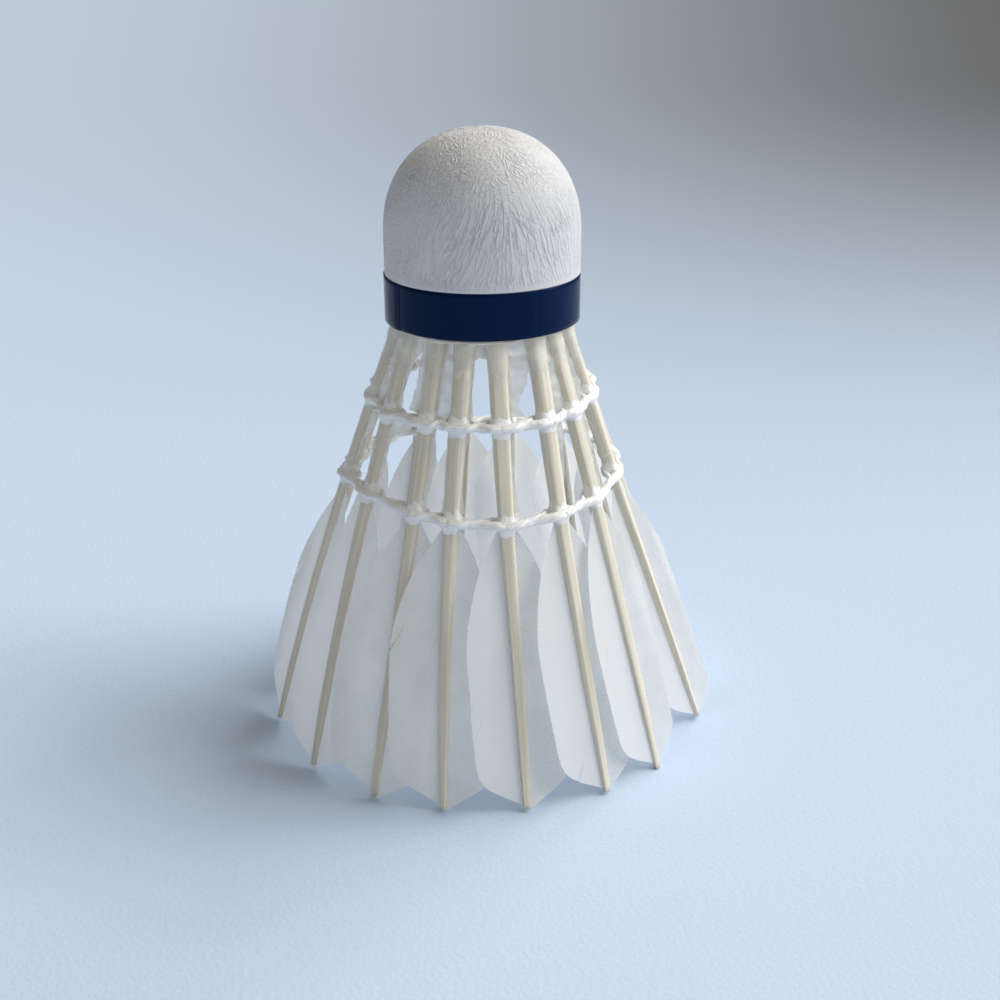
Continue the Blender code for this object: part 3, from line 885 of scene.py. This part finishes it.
class Web:
    """One side of a feather: its outline and where it lies, measured on its CAD vane."""

    def __init__(self, sizes, quill, side):
        self.sizes, self.quill, self.side = sizes, quill, side
        self.name = f"{SIDE_NAMES[side]}_{quill.number:02d}"
        points = node_points(f"vane_{self.name}")
        roots = line_points(points[:, 2], quill.heights, quill.cad_centres)
        reaches = np.hypot(*(points - roots)[:, :2].T)
        farthest = np.argmax(reaches)
        self.random = random.Random(self.name)
        self.width = reaches[farthest] * self.width_share()
        step = side * (points - roots)[farthest, :2]
        turn = math.atan2(step[1], step[0]) - float(azimuth_of(roots[farthest]))
        turn += math.radians(FEATHER_TURNS.get(quill.number, 0))
        self.turn = (turn + math.pi) % math.tau - math.pi
        self.tip_height = points[:, 2].min() - sizes.web_drop
        left = side == LEFT
        self.relief = LEFT_RELIEFS.get(quill.number, sizes.left_relief) if left else 1.0
        self.taper = sizes.left_taper if left else sizes.right_taper
        self.taper_power = sizes.left_taper_power if left else sizes.right_taper_power
        self.corner = sizes.left_corner if left else sizes.right_corner

    def width_share(self):
        """Share of the CAD width that this web has."""
        share = self.random.uniform(*USUAL_WEB_SHARES)
        return LEFT_WEB_SHARES.get(self.quill.number, share) if self.side == LEFT else share

    def start(self, heights):
        """Distance from the quill's middle at which the barbs grow out of it."""
        return self.quill.half_width(heights) * BARB_ROOT

    def reach(self, heights):
        """Reach of the web: cut aslant at the tip, full, then narrowed to its top."""
        top = self.start(WEB_TOP) * TOP_LEDGE
        share = np.clip((heights - WEB_TOP) / self.taper + 1, 0.0, 1.0)
        full = self.width - (self.width - top) * share ** self.taper_power
        above = np.maximum(heights - self.tip_height, 0.0)
        cut = self.start(self.tip_height) * TIP_LEDGE + above * math.tan(self.sizes.web_cut)
        lesser, larger = np.minimum(full, cut), np.maximum(full, cut)
        rounding = (1 + (lesser / larger) ** self.corner) ** (-1 / self.corner)
        return cut * full / larger * rounding

    def barb_height(self, root_heights, reach):
        """Height of a barb at a reach, falling away from its root on the quill."""
        fall = reach / math.tan(self.sizes.barb_angle)
        return root_heights - fall - self.sizes.barb_bend * reach ** 2

    def surface(self, reach, heights):
        """Points of the web's middle surface."""
        curl = self.sizes.web_curl if self.side == LEFT else 0.0
        turn = self.turn - curl * self.width
        azimuth = self.quill.azimuth(heights)
        along = polar(1.0, azimuth + math.pi / 2 + turn) * (self.side * reach)[..., None]
        return self.quill.centre(heights) + along + polar(1.0, azimuth) * (curl * reach ** 2)[..., None]

    def barb_ends(self, root_heights):
        """Reach at which each barb meets the outline."""
        trial = np.linspace(0.0, END_LIMIT * self.width, END_STEPS)
        heights = self.barb_height(root_heights[:, None], trial)
        beyond = self.start(root_heights)[:, None] + trial > self.reach(heights)
        beyond[:, -1] = True
        return np.maximum(trial[np.argmax(beyond, axis=1)], LEAST_BARB)


# How far each line along a barb is in the furrow between two barbs
FURROW = (1.0, 0.4, 0.0, 0.0, 0.4)
LINES_PER_BARB = len(FURROW)
WEB_COLUMNS = 10
# Height above the tip where barb ends begin to fray, the rise to full fray, and the shortest barb then
FRAY_START = 11 * MM
FRAY_RISE = 7 * MM
LEAST_FRAYED_BARB = 0.2 * MM
# Gap of a web above the floor, length of its waves, and the furrow depth that lies on its surface
FLOOR_GAP = 0.15 * MM
WAVE_LENGTH = 7 * MM
RELIEF_LEVEL = 0.3
# Splits in a web, and the shares of its lines and of a barb's length between which they begin
SPLITS = 2
SPLIT_PLACES = (0.15, 0.8)
SPLIT_DEPTHS = (0.72, 0.9)
# Gaps of splits in millimetres, how sharply they open, the barbs drawn apart, and the lift over the gap
SPLIT_GAPS = (0.02, 0.12)
SPLIT_POWER = 1.5
SPLIT_BARBS = 5
SPLIT_LIFT = 0.4


def web_grid(web):
    """Vertices of a web, one row for each line along a barb, and how far each line is in a furrow."""
    sizes = web.sizes
    spacing = sizes.barb_pitch / LINES_PER_BARB
    lines = int((WEB_TOP - web.tip_height) / spacing)
    roots = WEB_TOP - spacing * np.arange(lines)
    furrows = np.resize(FURROW, lines)
    barbs = np.arange(lines) // LINES_PER_BARB
    fray = np.array([web.random.random() for _ in range(barbs[-1] + 1)])[barbs]
    ends = web.barb_ends(roots)
    frayed = smooth_step((roots - web.tip_height - FRAY_START) / FRAY_RISE)
    ends = np.maximum(ends - sizes.barb_fray * (fray + furrows) * frayed, LEAST_FRAYED_BARB)
    shares = np.linspace(0.0, 1.0, WEB_COLUMNS)
    run = ends[:, None] * shares
    heights = np.maximum(web.barb_height(roots[:, None], run), FLOOR_GAP)
    heights, lift = open_splits(web, roots, heights, shares)
    points = web.surface(web.start(roots)[:, None] + run, heights)
    facing = polar(1.0, web.quill.azimuth(heights) + web.turn)
    wave = sizes.web_wave * noise_at(points, WAVE_LENGTH, shift=web.quill.number) * shares
    relief = web.relief * sizes.barb_relief * (RELIEF_LEVEL - furrows)[:, None]
    return points + facing * (relief + wave + lift)[..., None], furrows


def split_lines(web, lines):
    """Lines at which a web has come apart between two barbs, with how far in and how wide."""
    picks = []
    for _ in range(SPLITS):
        line = int(lines * web.random.uniform(*SPLIT_PLACES)) // LINES_PER_BARB * LINES_PER_BARB
        picks.append((line, web.random.uniform(*SPLIT_DEPTHS), web.random.uniform(*SPLIT_GAPS) * MM))
    return picks


def open_splits(web, roots, heights, shares):
    """Part the barbs on either side of each split, and lift them a little."""
    web.splits = split_lines(web, len(roots))
    heights = heights.copy()
    lift = np.zeros_like(heights)
    lines = np.arange(len(roots))
    for line, depth, gap in web.splits:
        away = lines - line
        near = np.exp(-np.abs(away) / (SPLIT_BARBS * LINES_PER_BARB))
        opening = np.clip((shares - depth) / (1 - depth), 0.0, 1.0) ** SPLIT_POWER
        direction = np.where(away >= 0, -1.0, 1.0)
        heights += (direction * near)[:, None] * opening * gap
        lift += (SPLIT_LIFT * direction * near)[:, None] * opening * gap
    return np.maximum(heights, FLOOR_GAP), lift


def web_mesh(web):
    """Thin sheet of barbs, open at its splits."""
    points, furrows = web_grid(web)
    faces = grid_faces(*points.shape[:2])
    keep = np.ones(faces.shape[:2], bool)
    for line, depth, _ in web.splits:
        keep[line - 1, int(depth * (WEB_COLUMNS - 1)):] = False
    if web.side == RIGHT:
        faces = faces[..., ::-1]
    mesh = shaped_mesh(web.name, points.reshape(-1, 3).tolist(), faces[keep].tolist())
    # Furrow values, scaled by the web's relief, for the painted shade of the finish
    add_values(mesh, "furrow", np.repeat(furrows, WEB_COLUMNS) * web.relief)
    return mesh


class SHUTTLECOCK_OT_add_quills(bpy.types.Operator):
    """Add the sixteen quills"""

    bl_idname = "shuttlecock.add_quills"
    bl_label = "Add quills"

    def execute(self, context):
        finish = quill_finish(context.scene.shuttlecock_finishes)
        for quill in QUILLS:
            name = f"shaft_{quill.number:02d}"
            rings = shaft_rings(context.scene.shuttlecock_sizes, quill)
            mesh = tubes_mesh(name, [rings])
            add_values(mesh, "lengthwise", lengthwise_places(quill, rings), "FLOAT_VECTOR", "vector")
            add_piece(name, mesh, finish, "ivory_quill", f"quill_{quill.number:02d}")
        return {"FINISHED"}


class SHUTTLECOCK_OT_add_webs(bpy.types.Operator):
    """Add the barbed webs on both sides of every quill"""

    bl_idname = "shuttlecock.add_webs"
    bl_label = "Add webs"

    def execute(self, context):
        sizes = context.scene.shuttlecock_sizes
        finish = web_finish(context.scene.shuttlecock_finishes)
        for quill in QUILLS:
            for side in (LEFT, RIGHT):
                web = Web(sizes, quill, side)
                add_piece(f"web_{web.name}", web_mesh(web), finish, "white_vane", f"vane_{web.name}")
        return {"FINISHED"}


# Threads

STEPS_PER_GAP = 48
# Distance of a strand from a quill it holds and from its twin, as shares of its radius
HELD_SHARE = 0.8
FREE_SHARE = 0.85
# Swell of a twined pair in a gap, and of its bead at a quill, as shares of the strands' spread
GAP_SWELL = 0.45
BEAD_SHARE = 0.85
# Radius of a thread as shares of the strand's: its core, its plies and its fuzz
STRAND_CORE, PLY_SHARE, FUZZ_SHARE = 0.84, 0.18, 0.06
# Radius of a glue bead likewise: its core, its swell at a quill and its lumps
BEAD_CORE, BEAD_SWELL, BEAD_LUMPS = 0.95, 0.1, 0.14
# Reach of a collar below and above its row and how soon it falls off, in collar heights
COLLAR_DOWN, COLLAR_UP = 0.9, 1.3
COLLAR_FALL = 0.32
# Lumps of a collar as a share of its thickness, and how far its ends sink into the quill
COLLAR_LUMPS = 0.4
COLLAR_SINK = 0.06 * MM


def row_height(row, quill):
    """Height at which a row crosses a quill."""
    return ROW_HEIGHTS[row] + ROW_LIES[row].get(quill.number, USUAL_ROW_LIE) * MM


def row_paths(sizes, row):
    """Centre lines of a row's two threads and of its glue bead, once round the skirt.

    The threads hold each quill between them and make a half twist in every gap. The bead
    follows whichever thread is outside.
    """
    share = np.linspace(0.0, 1.0, STEPS_PER_GAP, endpoint=False)
    free = FREE_SHARE * sizes.strand_radius
    strands, bead = ([], []), []
    for index, here in enumerate(QUILLS):
        there = QUILLS[(index + 1) % FEATHERS]
        height = row_height(row, here)
        level = height + (row_height(row, there) - height) * share
        bend = (there.azimuth(height) - here.azimuth(height)) % math.tau
        azimuth = here.azimuth(height) + bend * share
        radius = here.radius(height) * (1 - share) + there.radius(height) * share
        hold = here.half_width(height) / (bend * here.radius(height))
        progress = np.clip((share - hold) / (1 - 2 * hold), 0.0, 1.0)
        near = np.cos(math.pi * progress) ** 2
        spare = here.half_depth(height) + HELD_SHARE * sizes.strand_radius - free
        middle = radius + (1 - near) * spare * GAP_SWELL
        for strand in (0, 1):
            turn = math.pi * (index + progress + strand)
            strands[strand].append(polar(middle + (free + spare * near) * np.cos(turn), azimuth,
                                         level + free * np.sin(turn)))
        bead.append(polar(middle + spare * near * BEAD_SHARE, azimuth, level))
    return [np.vstack(path) for path in (*strands, bead)]


def strand_rings(sizes, path, sides=14):
    """Rings of one thread, with the ridges of its twisted plies."""
    steps = np.linalg.norm(np.roll(path, -1, axis=0) - path, axis=1)
    turns = round(steps.sum() / sizes.ply_pitch)
    twist = math.tau * turns * np.cumsum(steps) / steps.sum()
    plies = np.abs(np.cos((sizes.strand_plies * around(sides) - twist[:, None]) / 2))
    fuzz = noise_at(path, 0.8 * MM)[:, None]
    swell = STRAND_CORE + PLY_SHARE * plies + FUZZ_SHARE * fuzz
    return swept_rings(path, sizes.strand_radius * swell)


def bead_rings(sizes, path, sides=16):
    """Rings of the lumpy glue bead that fills the hollows of a twined pair."""
    share = np.arange(len(path)) % STEPS_PER_GAP / STEPS_PER_GAP
    at_quill = np.cos(math.pi * share) ** 2
    ring = swept_rings(path, np.full((len(path), sides), sizes.bead_radius))
    lumps = noise_at(ring, 1.6 * MM, shift=5.0) + 0.5 * noise_at(ring, 0.6 * MM, shift=9.0)
    swell = BEAD_CORE + BEAD_SWELL * at_quill[:, None] + BEAD_LUMPS * lumps
    return swept_rings(path, sizes.bead_radius * swell)


def collar_rings(sizes, quill, row, steps=25, sides=28):
    """Glue that has crept along a quill on both sides of a thread row, in hollow fillets."""
    reach = sizes.collar_height
    middle = row_height(row, quill)
    heights = middle + np.linspace(-COLLAR_DOWN, COLLAR_UP, steps) * reach
    away = np.maximum(np.abs(heights - middle) - sizes.strand_radius, 0.0)
    swell = sizes.collar_thickness * np.exp(-away / (COLLAR_FALL * reach))[:, None]
    ring = quill_rings(sizes, quill, heights, 0.0, sides)
    lumps = noise_at(ring, 1.6 * MM, shift=quill.number)
    return quill_rings(sizes, quill, heights, swell * (1 + COLLAR_LUMPS * lumps) - COLLAR_SINK, sides)


class SHUTTLECOCK_OT_add_threads(bpy.types.Operator):
    """Add the two rows of twined threads with their glue"""

    bl_idname = "shuttlecock.add_threads"
    bl_label = "Add threads"

    def execute(self, context):
        sizes = context.scene.shuttlecock_sizes
        finishes = context.scene.shuttlecock_finishes
        thread = thread_finish(finishes)
        glue = glue_finish("thread_glue", finishes.glue_white, clear=0.94, cloudy=1.0)
        for row in ROWS:
            *strands, bead = row_paths(sizes, row)
            for letter, path in zip("ab", strands):
                name = f"{row}_strand_{letter}"
                add_piece(name, tubes_mesh(name, [strand_rings(sizes, path)], closed=True), thread,
                          "glued_thread", f"{row}_thread_{letter}")
            add_piece(f"{row}_bead", tubes_mesh(f"{row}_bead", [bead_rings(sizes, bead)], closed=True),
                      glue, "dried_glue")
            collars = [collar_rings(sizes, quill, row) for quill in QUILLS]
            add_piece(f"{row}_collars", tubes_mesh(f"{row}_collars", collars), glue, "dried_glue")
        return {"FINISHED"}


# Glue at the roots

# Reach of the crust in from the quills, its half height over its node's height, and its drips
CRUST_REACH = 2.2 * MM
CRUST_HALF = 0.6
DRIP_BELOW, DRIP_ABOVE = 0.45 * MM, 0.05 * MM
# How sharply a root collar thins, its lumps as a share of its thickness, and how far it sinks in
CRUST_POWER = 1.6
CRUST_LUMPS = 0.6
CRUST_SINK = 0.05 * MM


def crust_rings(segments=360, sides=16):
    """Rings of the uneven glue ring on the rear face of the cork."""
    low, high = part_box("root_glue")
    outer, inner = high.x, QUILLS[0].radius(REAR_HEIGHT) - CRUST_REACH
    angles = around(sides)
    radius = (outer + inner) / 2 + (outer - inner) / 2 * np.cos(angles)
    height = (low.z + high.z) / 2 + (high.z - low.z) * CRUST_HALF * np.sin(angles)
    ring = polar(radius, around(segments)[:, None], height)
    drip = noise_at(ring, 1.8 * MM) + 0.5 * noise_at(ring, 0.7 * MM, shift=4.0)
    sag = np.where(np.sin(angles) < 0, DRIP_BELOW, DRIP_ABOVE)
    return ring - UP * (sag * drip)[..., None]


def root_collar_rings(sizes, quill, steps=22, sides=28):
    """Glue that has run down a quill from the base."""
    heights = np.linspace(REAR_HEIGHT, REAR_HEIGHT - sizes.crust_height, steps)
    share = np.linspace(0.0, 1.0, steps)[:, None]
    ring = quill_rings(sizes, quill, heights, 0.0, sides)
    lumps = noise_at(ring, 1.3 * MM, shift=2.0 * quill.number)
    swell = sizes.crust_thickness * (1 - share) ** CRUST_POWER * (1 + CRUST_LUMPS * lumps)
    return quill_rings(sizes, quill, heights, swell - CRUST_SINK * share, sides)


def gap_beside(quill, side, heights):
    """Clear distance from one side of a quill to the next quill."""
    other = QUILLS[(quill.number - 1 + side) % FEATHERS]
    bend = side * (other.azimuth(heights) - quill.azimuth(heights)) % math.tau
    return bend * quill.radius(heights) - quill.half_width(heights) - other.half_width(heights)


FILM_ROWS = 72
FILM_COLUMNS = 10
# Step between the noise seeds of films
SEED_STEP = 3.7
# Widest film as a share of its gap, narrowest film, depth of its root in the quill, and its waves
WIDEST_FILM = 1.05
NARROWEST_FILM = 0.02 * MM
FILM_ROOT = 0.3 * MM
FILM_WAVE = 0.22 * MM


def film_grid(quill, side, heights, shares, seed):
    """Thin film of dried glue from one side of a quill towards the next, with a torn edge.

    The shares of the gap that it covers are given at heights from the top down.
    """
    levels = np.linspace(heights[0], heights[-1], FILM_ROWS)
    share = np.interp(levels, heights[::-1], shares[::-1])
    spine = np.stack([np.full(FILM_ROWS, seed), np.zeros(FILM_ROWS), levels / MM], axis=1)
    torn = 1 + 0.25 * noise_at(spine, 1.5) + 0.12 * noise_at(spine, 0.4, shift=3.0)
    gap = gap_beside(quill, side, levels)
    reach = np.maximum(gap * np.minimum(share * torn, WIDEST_FILM), NARROWEST_FILM)
    run = (FILM_ROOT + reach)[:, None] * np.linspace(0.0, 1.0, FILM_COLUMNS)
    offset = side * (quill.half_width(levels)[:, None] - FILM_ROOT + run)
    azimuth = quill.azimuth(levels)[:, None] + offset / quill.radius(levels)[:, None]
    grid = polar(quill.radius(levels)[:, None], azimuth, levels[:, None])
    waves = FILM_WAVE * noise_at(grid, 1.2 * MM, shift=seed)
    return grid + polar(1.0, azimuth) * waves[..., None]


# Height in millimetres at which the films under the tape begin
FILM_TOP = 59.3
# Quills of the back, with one film each, and the seed of their chances
BACK_QUILLS = range(4, 13)
BACK_SEED = 11
# Where those films end and the height of their edge, in millimetres, and the shares covered above it
BACK_LOWS = (50.0, 56.0)
BACK_EDGE = 1.5
BACK_SHARES = (0.3, 1.0)
# Films of the front: quill, side, heights in millimetres and the shares of the gap covered there
FRONT_FILMS = (
    (15, RIGHT, (FILM_TOP, 54, 50, 48.8), (1.1, 1.1, 1.1, 1.0)),
    (16, RIGHT, (FILM_TOP, 57.6, 57.0, 56.5, 52, 49), (1.1, 1.1, 0.6, 0.15, 0.1, 0.25)),
    (1, LEFT, (FILM_TOP, 57.6, 57.0, 56.5), (0.6, 0.5, 0.25, 0.05)),
    (1, RIGHT, (FILM_TOP, 54.5, 52.5, 50.5, 49.2), (1.1, 1.0, 0.62, 0.35, 0.5)),
    (2, RIGHT, (FILM_TOP, 54, 50, 48.8), (1.1, 1.1, 1.1, 1.1)),
    (14, RIGHT, (FILM_TOP, 56.5, 55, 52, 49.2), (1.1, 0.7, 0.3, 0.12, 0.3)),
    (15, LEFT, (FILM_TOP, 56.5, 52, 49.2), (0.6, 0.45, 0.4, 0.55)),
    (13, RIGHT, (FILM_TOP, 54, 50.5, 49), (1.1, 1.1, 0.9, 0.8)),
    (3, RIGHT, (FILM_TOP, 54, 50.5, 49), (1.1, 1.1, 0.8, 0.8)),
    (15, RIGHT, (48, 46, 43, 40, 37.5), (0.15, 0.28, 0.36, 0.25, 0.1)),
    (16, LEFT, (48, 44, 40, 37.5), (0.12, 0.08, 0.1, 0.16)),
    (16, RIGHT, (48, 45, 41, 37.5), (0.1, 0.03, 0.03, 0.12)),
    (14, RIGHT, (48.3, 46.8, 45, 41, 37.5), (0.8, 0.6, 0.15, 0.08, 0.1)),
    (13, RIGHT, (47.5, 45.5, 43.5, 40), (0.3, 0.75, 0.2, 0.1)),
    (1, RIGHT, (48, 46, 42, 37.5), (0.2, 0.08, 0.08, 0.14)),
    (2, RIGHT, (48.3, 46.5, 44, 40), (0.55, 0.5, 0.3, 0.1)),
    (3, RIGHT, (48.3, 46, 42, 38), (0.5, 0.35, 0.3, 0.2)),
)


def film_list():
    """Films beside the quills: those of the front, and like ones round the back."""
    films = list(FRONT_FILMS)
    chance = random.Random(BACK_SEED)
    for quill in BACK_QUILLS:
        low = chance.uniform(*BACK_LOWS)
        heights = (FILM_TOP, low + BACK_EDGE, low)
        films.append((quill, RIGHT, heights, (1.1, chance.uniform(*BACK_SHARES), 0.05)))
    return films


def films_mesh():
    """All the films in one mesh of separate sheets."""
    points, faces = [], []
    for index, (quill, side, heights, shares) in enumerate(film_list()):
        grid = film_grid(QUILLS[quill - 1], side, np.array(heights) * MM, np.array(shares),
                         index * SEED_STEP)
        faces += grid_faces(FILM_ROWS, FILM_COLUMNS, first=len(points)).reshape(-1, 4).tolist()
        points += grid.reshape(-1, 3).tolist()
    return shaped_mesh("glue_films", points, faces)


class SHUTTLECOCK_OT_add_root_glue(bpy.types.Operator):
    """Add the glue crust under the tape and the films beside the quills"""

    bl_idname = "shuttlecock.add_root_glue"
    bl_label = "Add root glue"

    def execute(self, context):
        sizes = context.scene.shuttlecock_sizes
        finishes = context.scene.shuttlecock_finishes
        crust = glue_finish("root_glue", finishes.glue_cream, clear=0.85, cloudy=1.0)
        ring = tubes_mesh("root_crust", [crust_rings()], closed=True)
        add_piece("root_crust", ring, crust, "dried_glue", "root_glue")
        collars = [root_collar_rings(sizes, quill) for quill in QUILLS]
        add_piece("root_collars", tubes_mesh("root_collars", collars), crust, "dried_glue")
        film = glue_finish("film_glue", finishes.glue_white, clear=0.65, cloudy=0.95, through=0.6)
        add_piece("glue_films", films_mesh(), film, "dried_glue")
        return {"FINISHED"}


# Loose fibres

# How far outside the quills' middle a fibre is rooted, and the share of its radius that it loses
FIBRE_ROOT = 0.9 * MM
FIBRE_TAPER = 0.6
# Arc of the sine by which a fibre stands off, and how late it climbs or falls
FIBRE_ARC = 2.4
FIBRE_POWER = 1.3
# Fibres of the threads: azimuth in degrees, height, and run to the right, up and out in millimetres
LOOSE_FIBRES = (
    (17, 47.9, 2.6, -3.6, 0.8),
    (56, 47.5, 1.6, -2.2, 1.0),
    (62, 41.6, 2.6, 1.6, 0.9),
    (33, 36.4, 0.4, -2.6, 0.9),
    (75, 38.2, 1.4, 1.5, 1.4),
    (-72, 48.2, -1.2, 1.3, 0.9),
    (-40, 47.9, -1.0, -1.8, 0.9),
)


def fibre_rings(sizes, fibre, steps=14, sides=6):
    """Rings of one thin curved fibre."""
    azimuth, height, right, up, out = fibre
    azimuth, height = math.radians(azimuth), height * MM
    share = np.linspace(0.0, 1.0, steps)
    skirt = np.interp(height, QUILLS[0].heights, np.hypot(*QUILLS[0].centres[:, :2].T))
    rightward, outward = axes_at(azimuth)
    path = (polar(skirt + FIBRE_ROOT, azimuth, height)
            + rightward * (right * MM * share)[:, None]
            + outward * (out * MM * np.sin(FIBRE_ARC * share))[:, None]
            + UP * (up * MM * share ** FIBRE_POWER)[:, None])
    along = np.gradient(path, axis=0)
    first = unit(np.cross(along, outward))
    thin = sizes.fibre_radius * (1 - FIBRE_TAPER * share)
    return spoked_rings(path, first, unit(np.cross(along, first)), np.tile(thin[:, None], sides))


class SHUTTLECOCK_OT_add_fibres(bpy.types.Operator):
    """Add the loose fibres of the threads"""

    bl_idname = "shuttlecock.add_fibres"
    bl_label = "Add fibres"

    def execute(self, context):
        fibres = [fibre_rings(context.scene.shuttlecock_sizes, fibre) for fibre in LOOSE_FIBRES]
        add_piece("loose_fibres", tubes_mesh("loose_fibres", fibres),
                  thread_finish(context.scene.shuttlecock_finishes), "glued_thread")
        return {"FINISHED"}


# Stage

CAMERA_PLACE = (2.17 * MM, -193.56 * MM, 109.78 * MM)
CAMERA_PITCH = 0.382
CAMERA_ROLL = -0.006
CAMERA_LENS = 52.2
SENSOR_WIDTH = 36.0
CLIP_START = 0.01
FLOOR_HALF = 4.0
ROOM_STRENGTH = 0.25
# Wide soft suns: azimuth and elevation in degrees, strength, width in degrees and tint
LAMPS = {
    "window": (97, 38, 2.0, 40, (1.0, 0.99, 0.97)),
    "far_window": (138, 40, 1.35, 40, (1.0, 0.99, 0.97)),
    "room": (65, 25, 0.68, 80, (1.0, 0.95, 0.88)),
}


def add_sun(name, azimuth, elevation, strength, width, tint):
    """Wide soft sun that shines from an azimuth and elevation."""
    lamp = bpy.data.lights.new(name, "SUN")
    lamp.energy = strength
    lamp.angle = math.radians(width)
    lamp.color = tint
    holder = bpy.data.objects.new(name, lamp)
    bpy.context.scene.collection.objects.link(holder)
    holder.rotation_euler = (math.pi / 2 - math.radians(elevation), 0.0, math.radians(azimuth))


def studio_world(finishes):
    """Dim even light all round, where the camera sees a pale backdrop."""
    world = bpy.data.worlds.new("studio")
    world.use_nodes = True
    tree = world.node_tree
    tree.nodes.clear()
    light = node(tree, "Background", {"Color": finishes.room_light, "Strength": ROOM_STRENGTH})
    backdrop = node(tree, "Background", {"Color": finishes.backdrop})
    seen = node(tree, "LightPath").outputs["Is Camera Ray"]
    both = blended(tree, seen, light.outputs["Background"], backdrop.outputs["Background"])
    node(tree, "OutputWorld", {"Surface": both})
    return world


class SHUTTLECOCK_OT_set_stage(bpy.types.Operator):
    """Set the floor, the light and the camera"""

    bl_idname = "shuttlecock.set_stage"
    bl_label = "Set stage"

    def execute(self, context):
        scene = context.scene
        scene.view_settings.view_transform = "Standard"
        floor = bpy.data.meshes.new("floor")
        half = FLOOR_HALF
        corners = [(-half, -half, 0.0), (half, -half, 0.0), (half, half, 0.0), (-half, half, 0.0)]
        floor.from_pydata(corners, [], [(0, 1, 2, 3)])
        floor.materials.append(floor_finish(scene.shuttlecock_finishes))
        ground = bpy.data.objects.new("floor", floor)
        scene.collection.objects.link(ground)
        scene.world = studio_world(scene.shuttlecock_finishes)
        for name, lamp in LAMPS.items():
            add_sun(name, *lamp)
        lens = bpy.data.cameras.new("camera")
        lens.lens = CAMERA_LENS
        lens.sensor_width = SENSOR_WIDTH
        lens.clip_start = CLIP_START
        camera = bpy.data.objects.new("camera", lens)
        scene.collection.objects.link(camera)
        camera.matrix_world = (Matrix.Translation(CAMERA_PLACE)
                               @ Matrix.Rotation(math.pi / 2 - CAMERA_PITCH, 4, "X")
                               @ Matrix.Rotation(CAMERA_ROLL, 4, "Z"))
        scene.camera = camera
        return {"FINISHED"}


class SHUTTLECOCK_PT_panel(bpy.types.Panel):
    """Settings and steps of the shuttlecock"""

    bl_idname = "SHUTTLECOCK_PT_panel"
    bl_label = "Shuttlecock"
    bl_space_type = "VIEW_3D"
    bl_region_type = "UI"
    bl_category = "Shuttlecock"

    def draw(self, context):
        for step in STEPS:
            self.layout.operator(step.bl_idname)
        for settings in (context.scene.shuttlecock_sizes, context.scene.shuttlecock_finishes):
            for setting in settings.__annotations__:
                self.layout.prop(settings, setting)


STEPS = (
    SHUTTLECOCK_OT_set_stage,
    SHUTTLECOCK_OT_dress_cork,
    SHUTTLECOCK_OT_add_cover,
    SHUTTLECOCK_OT_add_tape,
    SHUTTLECOCK_OT_add_quills,
    SHUTTLECOCK_OT_add_webs,
    SHUTTLECOCK_OT_add_threads,
    SHUTTLECOCK_OT_add_root_glue,
    SHUTTLECOCK_OT_add_fibres,
)
CLASSES = (ShuttlecockSizes, ShuttlecockFinishes, *STEPS, SHUTTLECOCK_PT_panel)


def register():
    """Make the settings and steps known to Blender."""
    for kind in CLASSES:
        bpy.utils.register_class(kind)
    bpy.types.Scene.shuttlecock_sizes = PointerProperty(type=ShuttlecockSizes)
    bpy.types.Scene.shuttlecock_finishes = PointerProperty(type=ShuttlecockFinishes)


def unregister():
    """Take the settings and steps away again."""
    del bpy.types.Scene.shuttlecock_finishes
    del bpy.types.Scene.shuttlecock_sizes
    for kind in reversed(CLASSES):
        bpy.utils.unregister_class(kind)


def main():
    """Build the shuttlecock step by step."""
    register()
    for step in STEPS:
        group, name = step.bl_idname.split(".")
        getattr(getattr(bpy.ops, group), name)()


if __name__ == "__main__":
    main()
